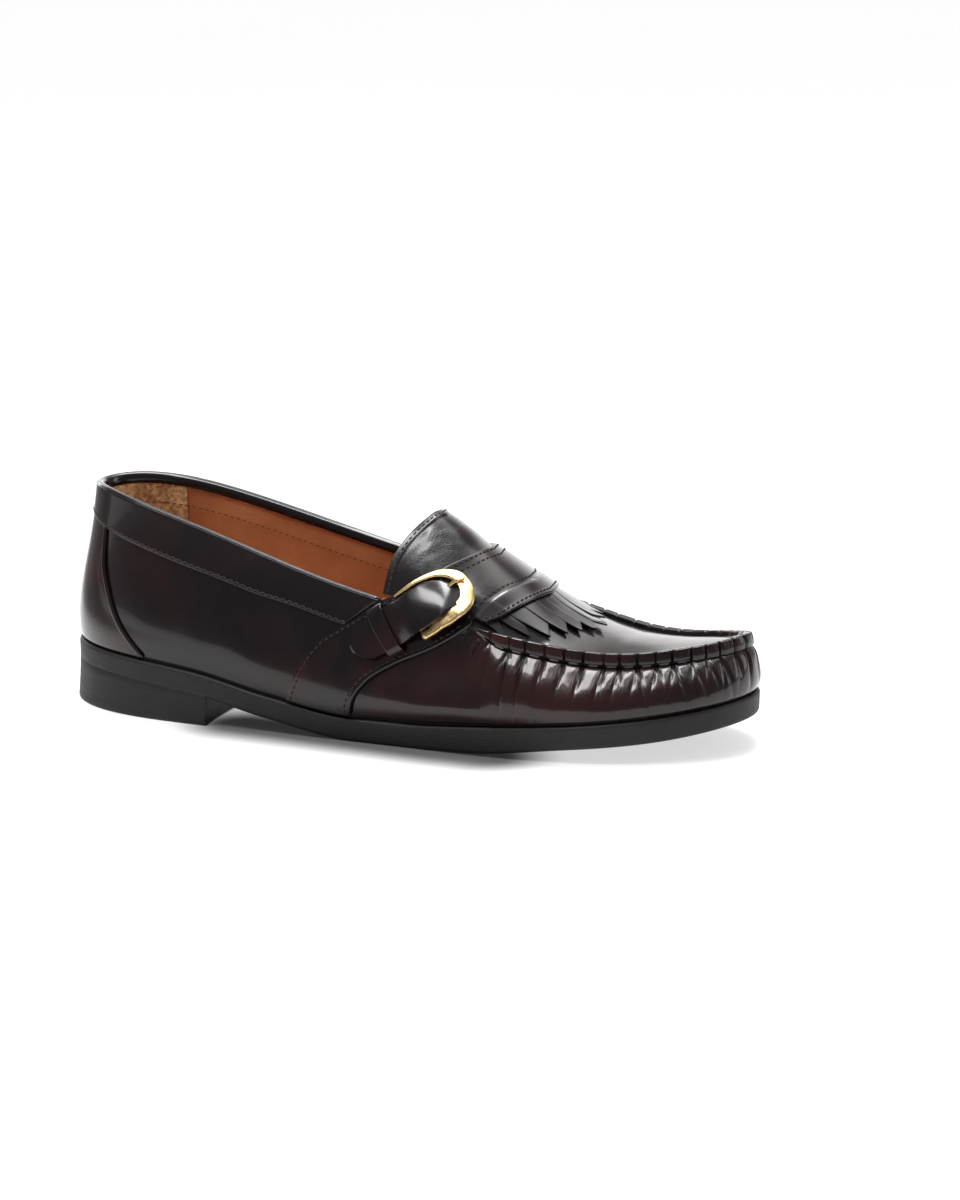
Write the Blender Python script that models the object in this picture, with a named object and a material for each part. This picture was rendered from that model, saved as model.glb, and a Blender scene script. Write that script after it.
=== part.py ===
"""Buckle loafer, right shoe: upper with moccasin seam, saddle, fringe, strap and buckle on a heeled sole.

Sizes are millimetres in the shoe's own frame: x forward from the heel, y to the medial side, z up.
"""
import bmesh
import bpy
import numpy as np

for old in list(bpy.data.objects):
    bpy.data.objects.remove(old, do_unlink=True)

# Overall sizes of the shoe.
MM = 0.001
CENTRE_X = 146.0
CENTRE_Y = 0.42
JOINT_GAP = 0.3

# Sole, heel and insole.
SOLE_LENGTH = 291.0
WELT = 2.0
BREAST_X = 74.6
BREAST_HOLLOW = 2.5
INSOLE_THICKNESS = 1.8
INSOLE_CLEARANCE = 0.6

# Upper: wall thickness, standing moccasin seam, throat and the place where the toe ribs meet.
WALL = 1.9
LIP_HEIGHT = 4.6
LIP_DROP = 2.4
LIP_WIDTH = 3.4
LIP_START_X = 191.0
LIP_FULL_X = 213.0
THROAT_SIDE_X = 148.0
THROAT_TOP_X = 188.0
THROAT_POWER = 3.5
FAN_X = 262.0

# Sewn-on leather.
OVERLAY = 1.3
TONGUE_THICKNESS = 2.2
TONGUE_REACH = 0.91
FRINGE_THICKNESS = 1.1
FRINGE_GAP = 0.5

# Strap and buckle, in their own plan: along from the crown of the buckle, across to the rear.
STRAP_X = 184.0
STRAP_Q = 1.27
STRAP_ANGLE = 38.5
HOOP_STEP = 48.0
STRAP_HALF = 7.4
STRAP_LENGTH = 55.5
STRAP_THICKNESS = 1.7
KEEPER_START = 36.5
KEEPER_END = 43.5

# The shoe in ribs from heel to toe: edge of the sole, rail (topline, then moccasin seam), swell of the wall.
HEEL_TIP = {"x": 1.5, "y": 0.0, "rail_x": 11.0, "rail_y": 0.0, "rail_z": 89.5, "belly": 2.4}
TOE_TIP = {"x": SOLE_LENGTH, "y": 6.0, "rail_x": 286.4, "rail_y": 7.0, "rail_z": 45.2, "belly": 2.4}
RIB_COLUMNS = ("x", "lateral", "medial", "rail_x", "rail_lateral", "rail_medial",
               "rail_z_lateral", "rail_z_medial", "belly")
RIBS = (
    (11.0, 20.0, 21.0, 18.0, 14.5, 14.0, 89.6, 90.0, 2.4),
    (35.0, 34.6, 32.0, 37.0, 25.5, 24.5, 86.6, 88.0, 2.6),
    (76.0, 41.0, 32.8, 76.0, 30.5, 27.5, 76.1, 79.6, 3.0),
    (121.0, 43.8, 32.6, 121.0, 32.8, 28.5, 62.3, 67.6, 3.2),
    (166.0, 47.0, 41.8, 166.0, 35.2, 33.5, 52.2, 55.4, 4.2),
    (206.0, 49.8, 50.2, 206.0, 37.6, 37.0, 45.9, 46.2, 5.0),
    (241.0, 46.0, 48.2, 241.0, 29.0, 31.5, 40.7, 39.6, 5.2),
    (268.0, 32.6, 39.0, 266.0, 18.0, 27.0, 42.2, 40.4, 4.4),
    (285.5, 14.0, 24.0, 280.5, 6.6, 18.6, 44.2, 43.2, 3.0),
)

# Height of the sole's upper and lower faces along the shoe.
SOLE_COLUMNS = ("x", "top", "low")
SOLE = (
    (0.0, 25.6, 16.4),
    (33.0, 24.2, 15.2),
    (67.0, 21.3, 12.4),
    (102.0, 14.4, 5.4),
    (140.0, 9.2, 0.0),
    (165.0, 9.4, 0.0),
    (188.0, 11.0, 0.5),
    (228.0, 14.3, 4.9),
    (264.0, 17.8, 8.4),
    (291.0, 21.6, 12.6),
)

# Height of the instep and plug along the middle of the shoe.
CREST_COLUMNS = ("x", "z")
CREST = (
    (146.0, 86.0),
    (154.0, 87.4),
    (160.0, 86.6),
    (169.0, 81.4),
    (177.0, 74.8),
    (184.0, 70.4),
    (195.0, 63.2),
    (203.0, 57.8),
    (214.0, 50.2),
    (227.0, 43.8),
    (241.0, 41.0),
    (256.0, 40.4),
    (272.0, 41.4),
    (287.0, 42.8),
)

# Free rear edge of the tongue: plan x at a share of the throat's half width.
TONGUE_COLUMNS = ("reach", "rear")
TONGUE = (
    (0.00, 160.0),
    (0.22, 158.4),
    (0.39, 156.0),
    (0.52, 153.4),
    (0.65, 150.7),
    (0.76, 149.0),
    (0.97, 148.4),
)

# Edges of the saddle and of the fringe on the hoops: q is 0 at the sole, 1 at the rail, 2 at the crest.
SADDLE_COLUMNS = ("q", "rear", "front")
SADDLE = (
    (0.02, 110.5, 138.6),
    (0.14, 113.2, 140.2),
    (0.32, 116.8, 146.0),
    (0.50, 122.3, 156.5),
    (0.72, 134.0, 172.5),
    (0.88, 144.5, 181.5),
    (1.02, 152.5, 187.0),
    (1.25, 166.5, 190.5),
    (1.50, 174.5, 194.5),
    (1.75, 179.0, 198.0),
    (2.00, 181.0, 199.5),
)
FRINGE_COLUMNS = ("q", "band", "tip", "lift")
FRINGE = (
    (1.10, 193.0, 199.5, 0.3),
    (1.20, 196.8, 209.0, 0.8),
    (1.35, 200.2, 216.0, 1.3),
    (1.60, 204.0, 221.5, 1.7),
    (2.00, 206.8, 226.0, 2.2),
)
FRINGE_STRIPS = 12
FRINGE_SLIT = 0.045
FRINGE_POINT = 2.2

# Lower edge of the collar band along the topline and front edge of the heel counter up the wall.
BAND_COLUMNS = ("rail_x", "v")
BAND = (
    (11.0, 0.83),
    (23.0, 0.77),
    (36.0, 0.74),
    (70.0, 0.71),
    (92.0, 0.71),
    (114.0, 0.73),
    (136.0, 0.72),
)
BAND_END_LOW_X = 133.6
BAND_END_TOP_X = 147.5
COUNTER_COLUMNS = ("v", "rail_x")
COUNTER = (
    (0.00, 46.0),
    (0.08, 41.0),
    (0.19, 35.6),
    (0.36, 30.0),
    (0.56, 25.0),
    (0.80, 23.5),
)

# Frame of the buckle from the rear arm round the crown to the front arm: half width of the bar, its height.
BUCKLE_COLUMNS = ("along", "across", "bar", "low", "high")
BUCKLE = (
    (31.0, 10.6, 0.9, 2.2, 3.6),
    (24.0, 10.6, 1.5, 2.2, 4.4),
    (15.0, 10.2, 1.7, 2.3, 4.8),
    (8.0, 8.8, 1.9, 2.9, 5.6),
    (3.4, 5.6, 2.2, 3.9, 6.5),
    (2.0, 0.0, 2.4, 4.1, 6.8),
    (3.4, -5.6, 2.2, 3.9, 6.5),
    (8.0, -8.8, 1.9, 2.9, 5.6),
    (15.0, -10.2, 1.7, 2.3, 4.8),
    (26.0, -10.4, 1.6, 2.2, 4.4),
)

# Prong from the bar under the strap to its tip over the crown, in the same columns.
PRONG = (
    (10.5, 3.4, 0.7, 4.9, 6.3),
    (7.5, 3.4, 0.8, 6.0, 7.5),
    (5.0, 3.4, 0.9, 7.1, 8.7),
    (0.2, 3.4, 0.8, 7.1, 8.6),
)

# Keeper across the strap: outer and inner face.
KEEPER_COLUMNS = ("outer", "outer_high", "inner", "inner_high")
KEEPER = (
    (-9.3, 1.9, -8.1, 1.9),
    (-9.3, 3.6, -8.1, 3.3),
    (-8.2, 5.3, -7.6, 4.2),
    (0.0, 5.7, 0.0, 4.5),
    (8.2, 5.3, 7.6, 4.2),
    (9.3, 3.6, 8.1, 3.3),
    (9.3, 1.9, 8.1, 1.9),
)

# Lift of the strap off the saddle along its length.
STRAP_COLUMNS = ("along", "low")
STRAP = (
    (0.0, 1.9),
    (6.0, 1.9),
    (14.0, 3.4),
    (24.0, 3.4),
    (36.0, 2.0),
    (STRAP_LENGTH, 1.9),
)


def column(rows, names, name):
    return np.array([row[names.index(name)] for row in rows])


def smooth(x, xs, ys):
    """Smooth curve through a table that never runs past its rows."""
    h = np.diff(xs)
    d = np.diff(ys) / h
    inner = np.where(d[1:] * d[:-1] > 0, 2 * d[1:] * d[:-1] / (d[1:] + d[:-1] + 1e-12), 0)
    m = np.concatenate(([d[0]], inner, [d[-1]]))
    i = np.clip(np.searchsorted(xs, x) - 1, 0, len(xs) - 2)
    t = np.clip((x - xs[i]) / h[i], 0, 1)
    start = (1 + 2 * t) * (1 - t) ** 2 * ys[i] + t * (1 - t) ** 2 * h[i] * m[i]
    return start + t * t * (3 - 2 * t) * ys[i + 1] - t * t * (1 - t) * h[i] * m[i + 1]


def follow(x, rows, names, given, wanted):
    return smooth(np.asarray(x, float), column(rows, names, given), column(rows, names, wanted))


def ramp(x, start, end):
    t = np.clip((x - start) / (end - start), 0, 1)
    return t * t * (3 - 2 * t)


def loop(tip, lateral, medial, sign=1.0):
    """One rib column taken round the shoe: heel tip, lateral side, toe tip, medial side."""
    lat = sign * column(RIBS, RIB_COLUMNS, lateral)
    med = column(RIBS, RIB_COLUMNS, medial)
    return np.concatenate(([HEEL_TIP[tip]], lat, [TOE_TIP[tip]], med[::-1]))


CONTROL = np.stack([
    loop("x", "x", "x"),
    loop("y", "lateral", "medial", -1),
    loop("rail_x", "rail_x", "rail_x"),
    loop("rail_y", "rail_lateral", "rail_medial", -1),
    loop("rail_z", "rail_z_lateral", "rail_z_medial"),
    loop("belly", "belly", "belly"),
], 1)
STEP = np.hypot(*np.diff(np.vstack([CONTROL, CONTROL[:1]])[:, :2], axis=0).T) ** 0.75
KNOTS = np.concatenate(([0], np.cumsum(STEP))) / STEP.sum()
TIP_U = KNOTS[len(RIBS) + 1]


def bends(knots, values):
    """Second derivatives of the smooth closed curve through the ribs."""
    n = len(values)
    h = np.diff(knots)
    a = np.zeros((n, n))
    b = np.zeros_like(values)
    for i in range(n):
        p = i - 1
        a[i, p] += h[p]
        a[i, i] += 2 * (h[p] + h[i])
        a[i, (i + 1) % n] += h[i]
        b[i] = 6 * ((values[(i + 1) % n] - values[i]) / h[i] - (values[i] - values[p]) / h[p])
    return np.linalg.solve(a, b)


BEND = bends(KNOTS, CONTROL)


def around(u):
    """Edge x, y, rail x, y, z and belly at the place u round the shoe, 0 at the heel tip."""
    u = np.asarray(u, float) % 1.0
    i = np.clip(np.searchsorted(KNOTS, u, side="right") - 1, 0, len(CONTROL) - 1)
    j = (i + 1) % len(CONTROL)
    h = (KNOTS[i + 1] - KNOTS[i])[..., None]
    b = (u - KNOTS[i])[..., None] / h
    a = 1 - b
    curve = h * h * ((a ** 3 - a) * BEND[i] + (b ** 3 - b) * BEND[j]) / 6
    return a * CONTROL[i] + b * CONTROL[j] + curve


def outward(u):
    """Unit direction out of the sole's edge, in plan."""
    t = around(np.asarray(u) + 1e-4)[..., :2] - around(np.asarray(u) - 1e-4)[..., :2]
    n = np.stack([t[..., 1], -t[..., 0]], -1)
    return n / np.linalg.norm(n, axis=-1, keepdims=True)


def sole_top(x):
    return follow(x, SOLE, SOLE_COLUMNS, "x", "top")


def sole_low(x):
    return follow(x, SOLE, SOLE_COLUMNS, "x", "low")


def lip(x):
    return ramp(x, LIP_START_X, LIP_FULL_X)


def wall(u, v, out=0.0):
    """Point on the side of the upper: v 0 at the sole, 1 at the topline or under the standing seam."""
    u, v = np.broadcast_arrays(np.asarray(u, float), np.asarray(v, float))
    rib = around(u)
    h = outward(u)
    foot = rib[..., :2] - WELT * h
    size = lip(rib[..., 2])
    head = rib[..., 2:4] + (0.5 * LIP_WIDTH * size)[..., None] * h
    low = sole_top(foot[..., 0]) + JOINT_GAP
    high = rib[..., 4] - LIP_HEIGHT * size
    inset = ((foot - head) * h).sum(-1)
    rise = high - low
    at = 0.26 + 0.26 * ramp(rib[..., 2], 90.0, 200.0)
    power = (1 - at) / at
    swell = v * np.clip(1 - v, 0, 1) ** power / (at * (1 - at) ** power)
    push = rib[..., 5] * swell + out
    span = np.hypot(inset, rise)
    plan = foot + (head - foot) * v[..., None] + h * (push * rise / span)[..., None]
    return np.concatenate([plan, (low + rise * v + push * inset / span)[..., None]], -1)


DENSE = np.linspace(0, 1, 4001)
RAIL = around(DENSE)[:, 2:5]


def rail_side(x, lateral):
    """Rail y, z and place u at the rail's x on one side."""
    keep = DENSE <= TIP_U if lateral else DENSE >= TIP_U
    order = np.argsort(RAIL[keep, 0])
    xs = RAIL[keep, 0][order]
    return [np.interp(x, xs, q[keep][order]) for q in (RAIL[:, 1], RAIL[:, 2], DENSE)]


def arch(x, y):
    """Height of the vamp and plug over the foot."""
    lat_y, lat_z, _ = rail_side(x, True)
    med_y, med_z, _ = rail_side(x, False)
    size = lip(x)
    half = (med_y - lat_y) / 2 - 0.65 * LIP_WIDTH * size
    s = (y - (lat_y + med_y) / 2) / np.maximum(half, 0.5)
    edge = (lat_z + med_z) / 2 + s * (med_z - lat_z) / 2 - LIP_DROP * size
    crest = follow(x, CREST, CREST_COLUMNS, "x", "z")
    return edge + (crest - edge) * (1 - np.clip(s * s, 0, 1))


def hoop(x, q):
    """Point on a hoop over the shoe: q 0 to 1 up the lateral side, to 3 over, to 4 down the medial side."""
    x, q = np.broadcast_arrays(np.asarray(x, float), np.asarray(q, float))
    lat_y, _, lat_u = rail_side(x, True)
    med_y, _, med_u = rail_side(x, False)
    y = (lat_y + med_y) / 2 + (np.clip(q, 1, 3) - 2) * (med_y - lat_y) / 2
    over = np.stack([x, y, arch(x, y)], -1)
    lateral = wall(lat_u, np.clip(q, 0, 1))
    medial = wall(med_u, np.clip(4 - q, 0, 1))
    side = np.where((q < 2)[..., None], lateral, medial)
    return np.where(((q > 1) & (q < 3))[..., None], over, side)


def above(x, q, out):
    """Point at a height off the hoop's own surface."""
    along = hoop(x + 0.8, q) - hoop(x - 0.8, q)
    across = hoop(x, q + 0.02) - hoop(x, q - 0.02)
    n = np.cross(across, along)
    n = n / np.linalg.norm(n, axis=-1, keepdims=True)
    return hoop(x, q) - n * np.asarray(out)[..., None]


def on_saddle(along, across, out):
    """Point over the lateral saddle in the plan of the strap."""
    turn = np.radians(STRAP_ANGLE)
    x = STRAP_X - along * np.cos(turn) - across * np.sin(turn)
    q = STRAP_Q + (across * np.cos(turn) - along * np.sin(turn)) / HOOP_STEP
    return above(x, q, out)


def piece(name, points, faces, colour, roughness, metallic=0.0):
    """One named solid with its own material, in metres about the middle of the sole."""
    place = (np.asarray(points, float) - (CENTRE_X, CENTRE_Y, 0.0)) * MM
    mesh = bpy.data.meshes.new(name)
    mesh.from_pydata([tuple(p) for p in place], [], faces)
    shape = bmesh.new()
    shape.from_mesh(mesh)
    bmesh.ops.remove_doubles(shape, verts=shape.verts, dist=0.00002)
    bmesh.ops.recalc_face_normals(shape, faces=shape.faces)
    shape.to_mesh(mesh)
    shape.free()
    material = bpy.data.materials.new(name)
    material.use_nodes = True
    shader = material.node_tree.nodes["Principled BSDF"]
    shader.inputs["Base Color"].default_value = (*colour, 1.0)
    shader.inputs["Roughness"].default_value = roughness
    shader.inputs["Metallic"].default_value = metallic
    mesh.materials.append(material)
    node = bpy.data.objects.new(name, mesh)
    bpy.context.scene.collection.objects.link(node)


def grid_faces(rows, cols, start=0, round_rows=False):
    """Quads of a grid of points, closed along its rows if asked."""
    faces = []
    for i in range(rows if round_rows else rows - 1):
        for j in range(cols - 1):
            a = start + i * cols + j
            b = start + (i + 1) % rows * cols + j
            faces.append((a, b, b + 1, a + 1))
    return faces


def thick(faces, count):
    """Outer faces, the same faces on the inner points and a rim along every free edge."""
    used = {}
    for face in faces:
        for a, b in zip(face, face[1:] + face[:1]):
            used[(a, b)] = used.get((a, b), 0) + 1
    rim = [(a, b, b + count, a + count) for a, b in used if (b, a) not in used]
    return faces + [tuple(p + count for p in face[::-1]) for face in faces] + rim


def sheet(name, outer, inner, colour, roughness, metallic=0.0):
    """Solid between two grids of points."""
    rows, cols, _ = outer.shape
    faces = thick(grid_faces(rows, cols), rows * cols)
    points = np.concatenate([outer.reshape(-1, 3), inner.reshape(-1, 3)])
    piece(name, points, faces, colour, roughness, metallic)


# Places round the shoe: the same number of steps on both sides, so that they pair across the sole.
RIB_STEPS = (4, 4, 4, 4, 7, 7, 4, 4, 4, 3)
HALF_U = np.concatenate([
    np.linspace(KNOTS[i], KNOTS[i + 1], n, endpoint=False) for i, n in enumerate(RIB_STEPS)])
MEDIAL_U = np.concatenate([
    np.linspace(KNOTS[-1 - i], KNOTS[-2 - i], n, endpoint=False) for i, n in enumerate(RIB_STEPS)])
ALL_U = np.concatenate([HALF_U, [TIP_U], MEDIAL_U[:0:-1]])
ACROSS = np.linspace(0, 1, 5)


def plate(left_u, right_u, inset, height):
    """Rows of points across the shoe between paired places on its edge."""
    a = around(left_u)[:, :2] - inset * outward(left_u)
    b = around(right_u)[:, :2] - inset * outward(right_u)
    plan = a[:, None] + (b - a)[:, None] * ACROSS[None, :, None]
    return np.concatenate([plan, height(plan[..., 0])[..., None]], -1)


def layered(name, left_u, right_u, layers, colour, roughness, breast=0.0):
    """Solid of the sole kind: layers of (inset, height) from its upper face down, with capped faces."""
    grids = [plate(left_u, right_u, inset, height) for inset, height in layers]
    for g in grids:
        s = 2 * ACROSS - 1
        g[-1, :, 0] -= breast * (1 - s * s)
    rows, cols, _ = grids[0].shape
    size = rows * cols
    faces = grid_faces(rows, cols) + [f[::-1] for f in grid_faces(rows, cols, (len(grids) - 1) * size)]
    edge = [i * cols for i in range(rows)] + [(rows - 1) * cols + j for j in range(1, cols)]
    edge += [i * cols + cols - 1 for i in range(rows - 2, -1, -1)] + [j for j in range(cols - 2, 0, -1)]
    for k in range(len(grids) - 1):
        for a, b in zip(edge, edge[1:] + edge[:1]):
            faces.append((k * size + a, k * size + b, (k + 1) * size + b, (k + 1) * size + a))
    piece(name, np.concatenate([g.reshape(-1, 3) for g in grids]), faces, colour, roughness)


# Outsole: rounded upper edge, straight side and a bevel at the floor.
LEFT_U = np.concatenate([HALF_U, [TIP_U]])
RIGHT_U = np.concatenate([[1.0], MEDIAL_U[1:], [TIP_U]])
layered("outsole", LEFT_U, RIGHT_U, (
    (0.9, lambda x: sole_top(x)),
    (0.0, lambda x: sole_top(x) - 1.3),
    (0.2, lambda x: sole_low(x) + 1.2),
    (1.0, lambda x: sole_low(x)),
), (0.018, 0.018, 0.020), 0.55)

# Heel: block under the seat, cut off at the breast.
edge_x = around(LEFT_U)[:, 0]
EDGE = around(DENSE)
lateral_edge = (DENSE < TIP_U / 2)
medial_edge = (DENSE > (1 + TIP_U) / 2)
breast_left = np.interp(BREAST_X, EDGE[lateral_edge, 0], DENSE[lateral_edge])
breast_right = np.interp(-BREAST_X, -EDGE[medial_edge, 0], DENSE[medial_edge])
behind = edge_x < BREAST_X - 4.0
layered("heel", np.append(LEFT_U[behind], breast_left), np.append(RIGHT_U[behind], breast_right), (
    (0.7, lambda x: sole_low(x) - JOINT_GAP),
    (0.3, lambda x: sole_low(x) - JOINT_GAP - 0.6),
    (0.5, lambda x: 0.0 * x + 0.9),
    (1.2, lambda x: 0.0 * x),
), (0.018, 0.018, 0.020), 0.5, BREAST_HOLLOW)

# Insole: thin board between the walls of the upper.
INSOLE_INSET = WELT + WALL + INSOLE_CLEARANCE
layered("insole", LEFT_U, RIGHT_U, (
    (INSOLE_INSET, lambda x: sole_top(x) + JOINT_GAP + INSOLE_THICKNESS),
    (INSOLE_INSET, lambda x: sole_top(x) + JOINT_GAP),
), (0.42, 0.19, 0.09), 0.6)

# Upper: wall up to the rail, standing seam round the toe and the vamp over the foot to the throat or middle.
WALL_V = np.linspace(0, 1, 8)
LIP_COLUMNS = ("out", "up")
LIP = ((0.50, -0.12), (0.28, 0.0), (-0.28, 0.0), (-0.50, -0.12), (-0.65, -LIP_DROP / LIP_HEIGHT))
TOP_STEPS = np.linspace(0, 1, 6)


def middle(x, y):
    """Plan point to which the vamp runs from a rail point: throat edge, middle line or toe fan."""
    lat_y, _, _ = rail_side(x, True)
    med_y, _, _ = rail_side(x, False)
    turn = np.clip((x - THROAT_SIDE_X) / (THROAT_TOP_X - THROAT_SIDE_X), 0, 1) * np.pi / 2
    open_half = np.abs(np.cos(turn)) ** (2 / THROAT_POWER) * (x < THROAT_TOP_X)
    side_y, _, _ = rail_side(THROAT_SIDE_X, True)
    over_y, _, _ = rail_side(THROAT_SIDE_X, False)
    mid = np.where(x < THROAT_TOP_X, (side_y + over_y) / 2, (lat_y + med_y) / 2)
    reach = np.where(y < mid, side_y - over_y, over_y - side_y) / 2 * open_half
    throat_x = THROAT_SIDE_X + (THROAT_TOP_X - THROAT_SIDE_X) * np.sin(turn) ** 2
    end_x = np.where(x < THROAT_TOP_X, throat_x, np.minimum(x, FAN_X))
    fan_lat, _, _ = rail_side(end_x, True)
    fan_med, _, _ = rail_side(end_x, False)
    end_y = np.where(x > FAN_X, (fan_lat + fan_med) / 2, mid + reach)
    return np.stack([end_x, end_y], -1)


def upper_rib(u, mate):
    """Outer and inner points of one rib of the upper, meeting its mate from the other side in the middle."""
    rib = around(u)
    mid_x = (rib[2] + around(mate)[2]) / 2
    h = outward(u)
    size = lip(rib[2])
    outer = list(wall(u, WALL_V))
    inner = list(wall(u, WALL_V, -WALL))
    inner[0][2] = outer[0][2]
    for out, up in zip(column(LIP, LIP_COLUMNS, "out"), column(LIP, LIP_COLUMNS, "up")):
        plan = rib[2:4] + out * LIP_WIDTH * size * h
        outer.append(np.array([*plan, rib[4] + up * LIP_HEIGHT * size]))
    if mid_x > THROAT_SIDE_X:
        end = middle(mid_x, rib[3])
        plug = outer[-1][:2]
        room = inner[-1][:2]
        for t in TOP_STEPS[1:]:
            a = plug + (end - plug) * t
            b = room + (end - room) * t
            outer.append(np.array([*a, arch(a[0], a[1])]))
            inner.append(np.array([*b, arch(b[0], b[1]) - 1.25 * WALL]))
    else:
        outer += [outer[-1]] * (len(TOP_STEPS) - 1)
        inner += [inner[-1]] * (len(TOP_STEPS) - 1)
    return outer, inner


MATE_U = np.roll(ALL_U[::-1], 1)
ribs = [upper_rib(u, mate) for u, mate in zip(ALL_U, MATE_U)]
rib_x = (around(ALL_U)[:, 2] + around(MATE_U)[:, 2]) / 2
count = len(ALL_U)
outer_cols = len(ribs[0][0])
inner_cols = len(ribs[0][1])
points = [p for rib in ribs for p in rib[0]] + [p for rib in ribs for p in rib[1]]
inside = count * outer_cols
faces = grid_faces(count, outer_cols, 0, True)
faces += [f[::-1] for f in grid_faces(count, inner_cols, inside, True)]
for i in range(count):
    k = (i + 1) % count
    faces.append((i * outer_cols, inside + i * inner_cols, inside + k * inner_cols, k * outer_cols))
    if min(rib_x[i], rib_x[k]) < THROAT_TOP_X:
        a = i * outer_cols + outer_cols - 1
        b = k * outer_cols + outer_cols - 1
        c = inside + k * inner_cols + inner_cols - 1
        d = inside + i * inner_cols + inner_cols - 1
        faces.append((a, b, c, d))
piece("upper", points, faces, (0.030, 0.010, 0.012), 0.18)


def throat_x(reach):
    """Plan x of the throat edge at a share of its half width."""
    return THROAT_SIDE_X + (THROAT_TOP_X - THROAT_SIDE_X) * (1 - np.abs(reach) ** THROAT_POWER)


# Tongue: arched flap from its free rear edge to the throat edge of the upper.
reach = TONGUE_REACH * np.sin(np.linspace(-1, 1, 21) * np.pi / 2)
rear = follow(np.abs(reach), TONGUE, TONGUE_COLUMNS, "reach", "rear")
front = throat_x(reach) - 0.9
tongue_x = rear + (front - rear) * np.linspace(0, 1, 7)[:, None]
throat_y = [float(rail_side(THROAT_SIDE_X, side)[0]) for side in (True, False)]
tongue_y = np.mean(throat_y) + reach * (throat_y[1] - throat_y[0]) / 2 + 0.0 * tongue_x
tongue_top = np.stack([tongue_x, tongue_y, arch(tongue_x, tongue_y)], -1)
slope_x = (arch(tongue_x + 0.5, tongue_y) - arch(tongue_x - 0.5, tongue_y))
slope_y = (arch(tongue_x, tongue_y + 0.5) - arch(tongue_x, tongue_y - 0.5))
steep = np.sqrt(1 + slope_x ** 2 + slope_y ** 2)
tongue_low = tongue_top - np.stack([0 * steep, 0 * steep, np.minimum(steep, 1.6) * TONGUE_THICKNESS], -1)
sheet("tongue", tongue_top, tongue_low, (0.030, 0.010, 0.012), 0.2)


def rail_u(x, lateral):
    return rail_side(x, lateral)[2]


# Collar band: round the topline from the saddle on one side to the saddle on the other.
up = np.linspace(0, 1, 4)[:, None]
end_x = BAND_END_LOW_X + (BAND_END_TOP_X - BAND_END_LOW_X) * up
first = rail_u(end_x, False) - 1.0
last = rail_u(end_x, True)
band_u = first + (last - first) * np.linspace(0, 1, 45)
band_low = follow(around(band_u)[..., 2], BAND, BAND_COLUMNS, "rail_x", "v")
band_v = band_low + (1 - band_low) * up
sheet("collar_band", wall(band_u, band_v, JOINT_GAP + OVERLAY), wall(band_u, band_v, JOINT_GAP),
      (0.022, 0.008, 0.010), 0.2)

# Heel counter: panel round the back of the heel, below the collar band.
counter_w = np.linspace(0, 1, 8)[:, None]
front_x = follow(counter_w * 0.78, COUNTER, COUNTER_COLUMNS, "v", "rail_x")
first = rail_u(front_x, False) - 1.0
last = rail_u(front_x, True)
counter_u = first + (last - first) * np.linspace(0, 1, 19)
counter_high = follow(around(counter_u)[..., 2], BAND, BAND_COLUMNS, "rail_x", "v") - 0.012
counter_v = 0.015 + (counter_high - 0.015) * counter_w
sheet("heel_counter", wall(counter_u, counter_v, JOINT_GAP + OVERLAY), wall(counter_u, counter_v, JOINT_GAP),
      (0.030, 0.010, 0.012), 0.18)


def mirrored(q):
    """The lateral table serves both sides of the crest."""
    return np.where(q > 2, 4 - q, q)


# Saddle: from the sole over the instep to the sole.
saddle_q = np.concatenate([np.linspace(0.02, 0.93, 8), np.linspace(1, 3, 21), np.linspace(3.07, 3.98, 8)])
saddle_rear = follow(mirrored(saddle_q), SADDLE, SADDLE_COLUMNS, "q", "rear")
saddle_front = follow(mirrored(saddle_q), SADDLE, SADDLE_COLUMNS, "q", "front")
saddle_x = saddle_rear + (saddle_front - saddle_rear) * np.linspace(0, 1, 6)[:, None]
saddle_q = saddle_q + 0.0 * saddle_x
sheet("saddle", above(saddle_x, saddle_q, JOINT_GAP + OVERLAY + 0.0 * saddle_x),
      above(saddle_x, saddle_q, JOINT_GAP + 0.0 * saddle_x), (0.026, 0.009, 0.011), 0.18)

# Kiltie: narrow band in front of the saddle with the strips of its fringe fused on.
plan = []
lift = []
faces = []
split = np.linspace(FRINGE[0][0], 4 - FRINGE[0][0], FRINGE_STRIPS + 1)
root = follow(mirrored(split), FRINGE, FRINGE_COLUMNS, "q", "band")
start = follow(mirrored(split), SADDLE, SADDLE_COLUMNS, "q", "front") + 0.5
for q, a, b in zip(split, start, root):
    plan += [(a, q), (b, q)]
    lift += [0.0, 0.0]
for i in range(FRINGE_STRIPS):
    faces.append((2 * i, 2 * i + 1, 2 * i + 3, 2 * i + 2))
    q = (split[i] + split[i + 1]) / 2
    half = (split[i + 1] - split[i]) / 2
    tip = float(follow(mirrored(q), FRINGE, FRINGE_COLUMNS, "q", "tip"))
    raised = float(follow(mirrored(q), FRINGE, FRINGE_COLUMNS, "q", "lift"))
    base = (root[i] + root[i + 1]) / 2
    left, right = 2 * i + 1, 2 * i + 3
    for t in (0.34, 0.67, 1.0):
        x = base + (tip - base) * t
        point = FRINGE_POINT * (t == 1.0)
        edge = half - FRINGE_SLIT / 2 * t
        plan += [(x - point * (q > 2), q - edge), (x - point * (q < 2), q + edge)]
        lift += [raised * t * t, raised * t * t]
        faces.append((left, len(plan) - 2, len(plan) - 1, right))
        left, right = len(plan) - 2, len(plan) - 1
plan = np.array(plan)
lift = np.array(lift) + FRINGE_GAP
fringe_top = above(plan[:, 0], plan[:, 1], lift + FRINGE_THICKNESS)
fringe_low = above(plan[:, 0], plan[:, 1], lift)
piece("kiltie", np.concatenate([fringe_top, fringe_low]), thick(faces, len(plan)),
      (0.030, 0.012, 0.014), 0.25)

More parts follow.
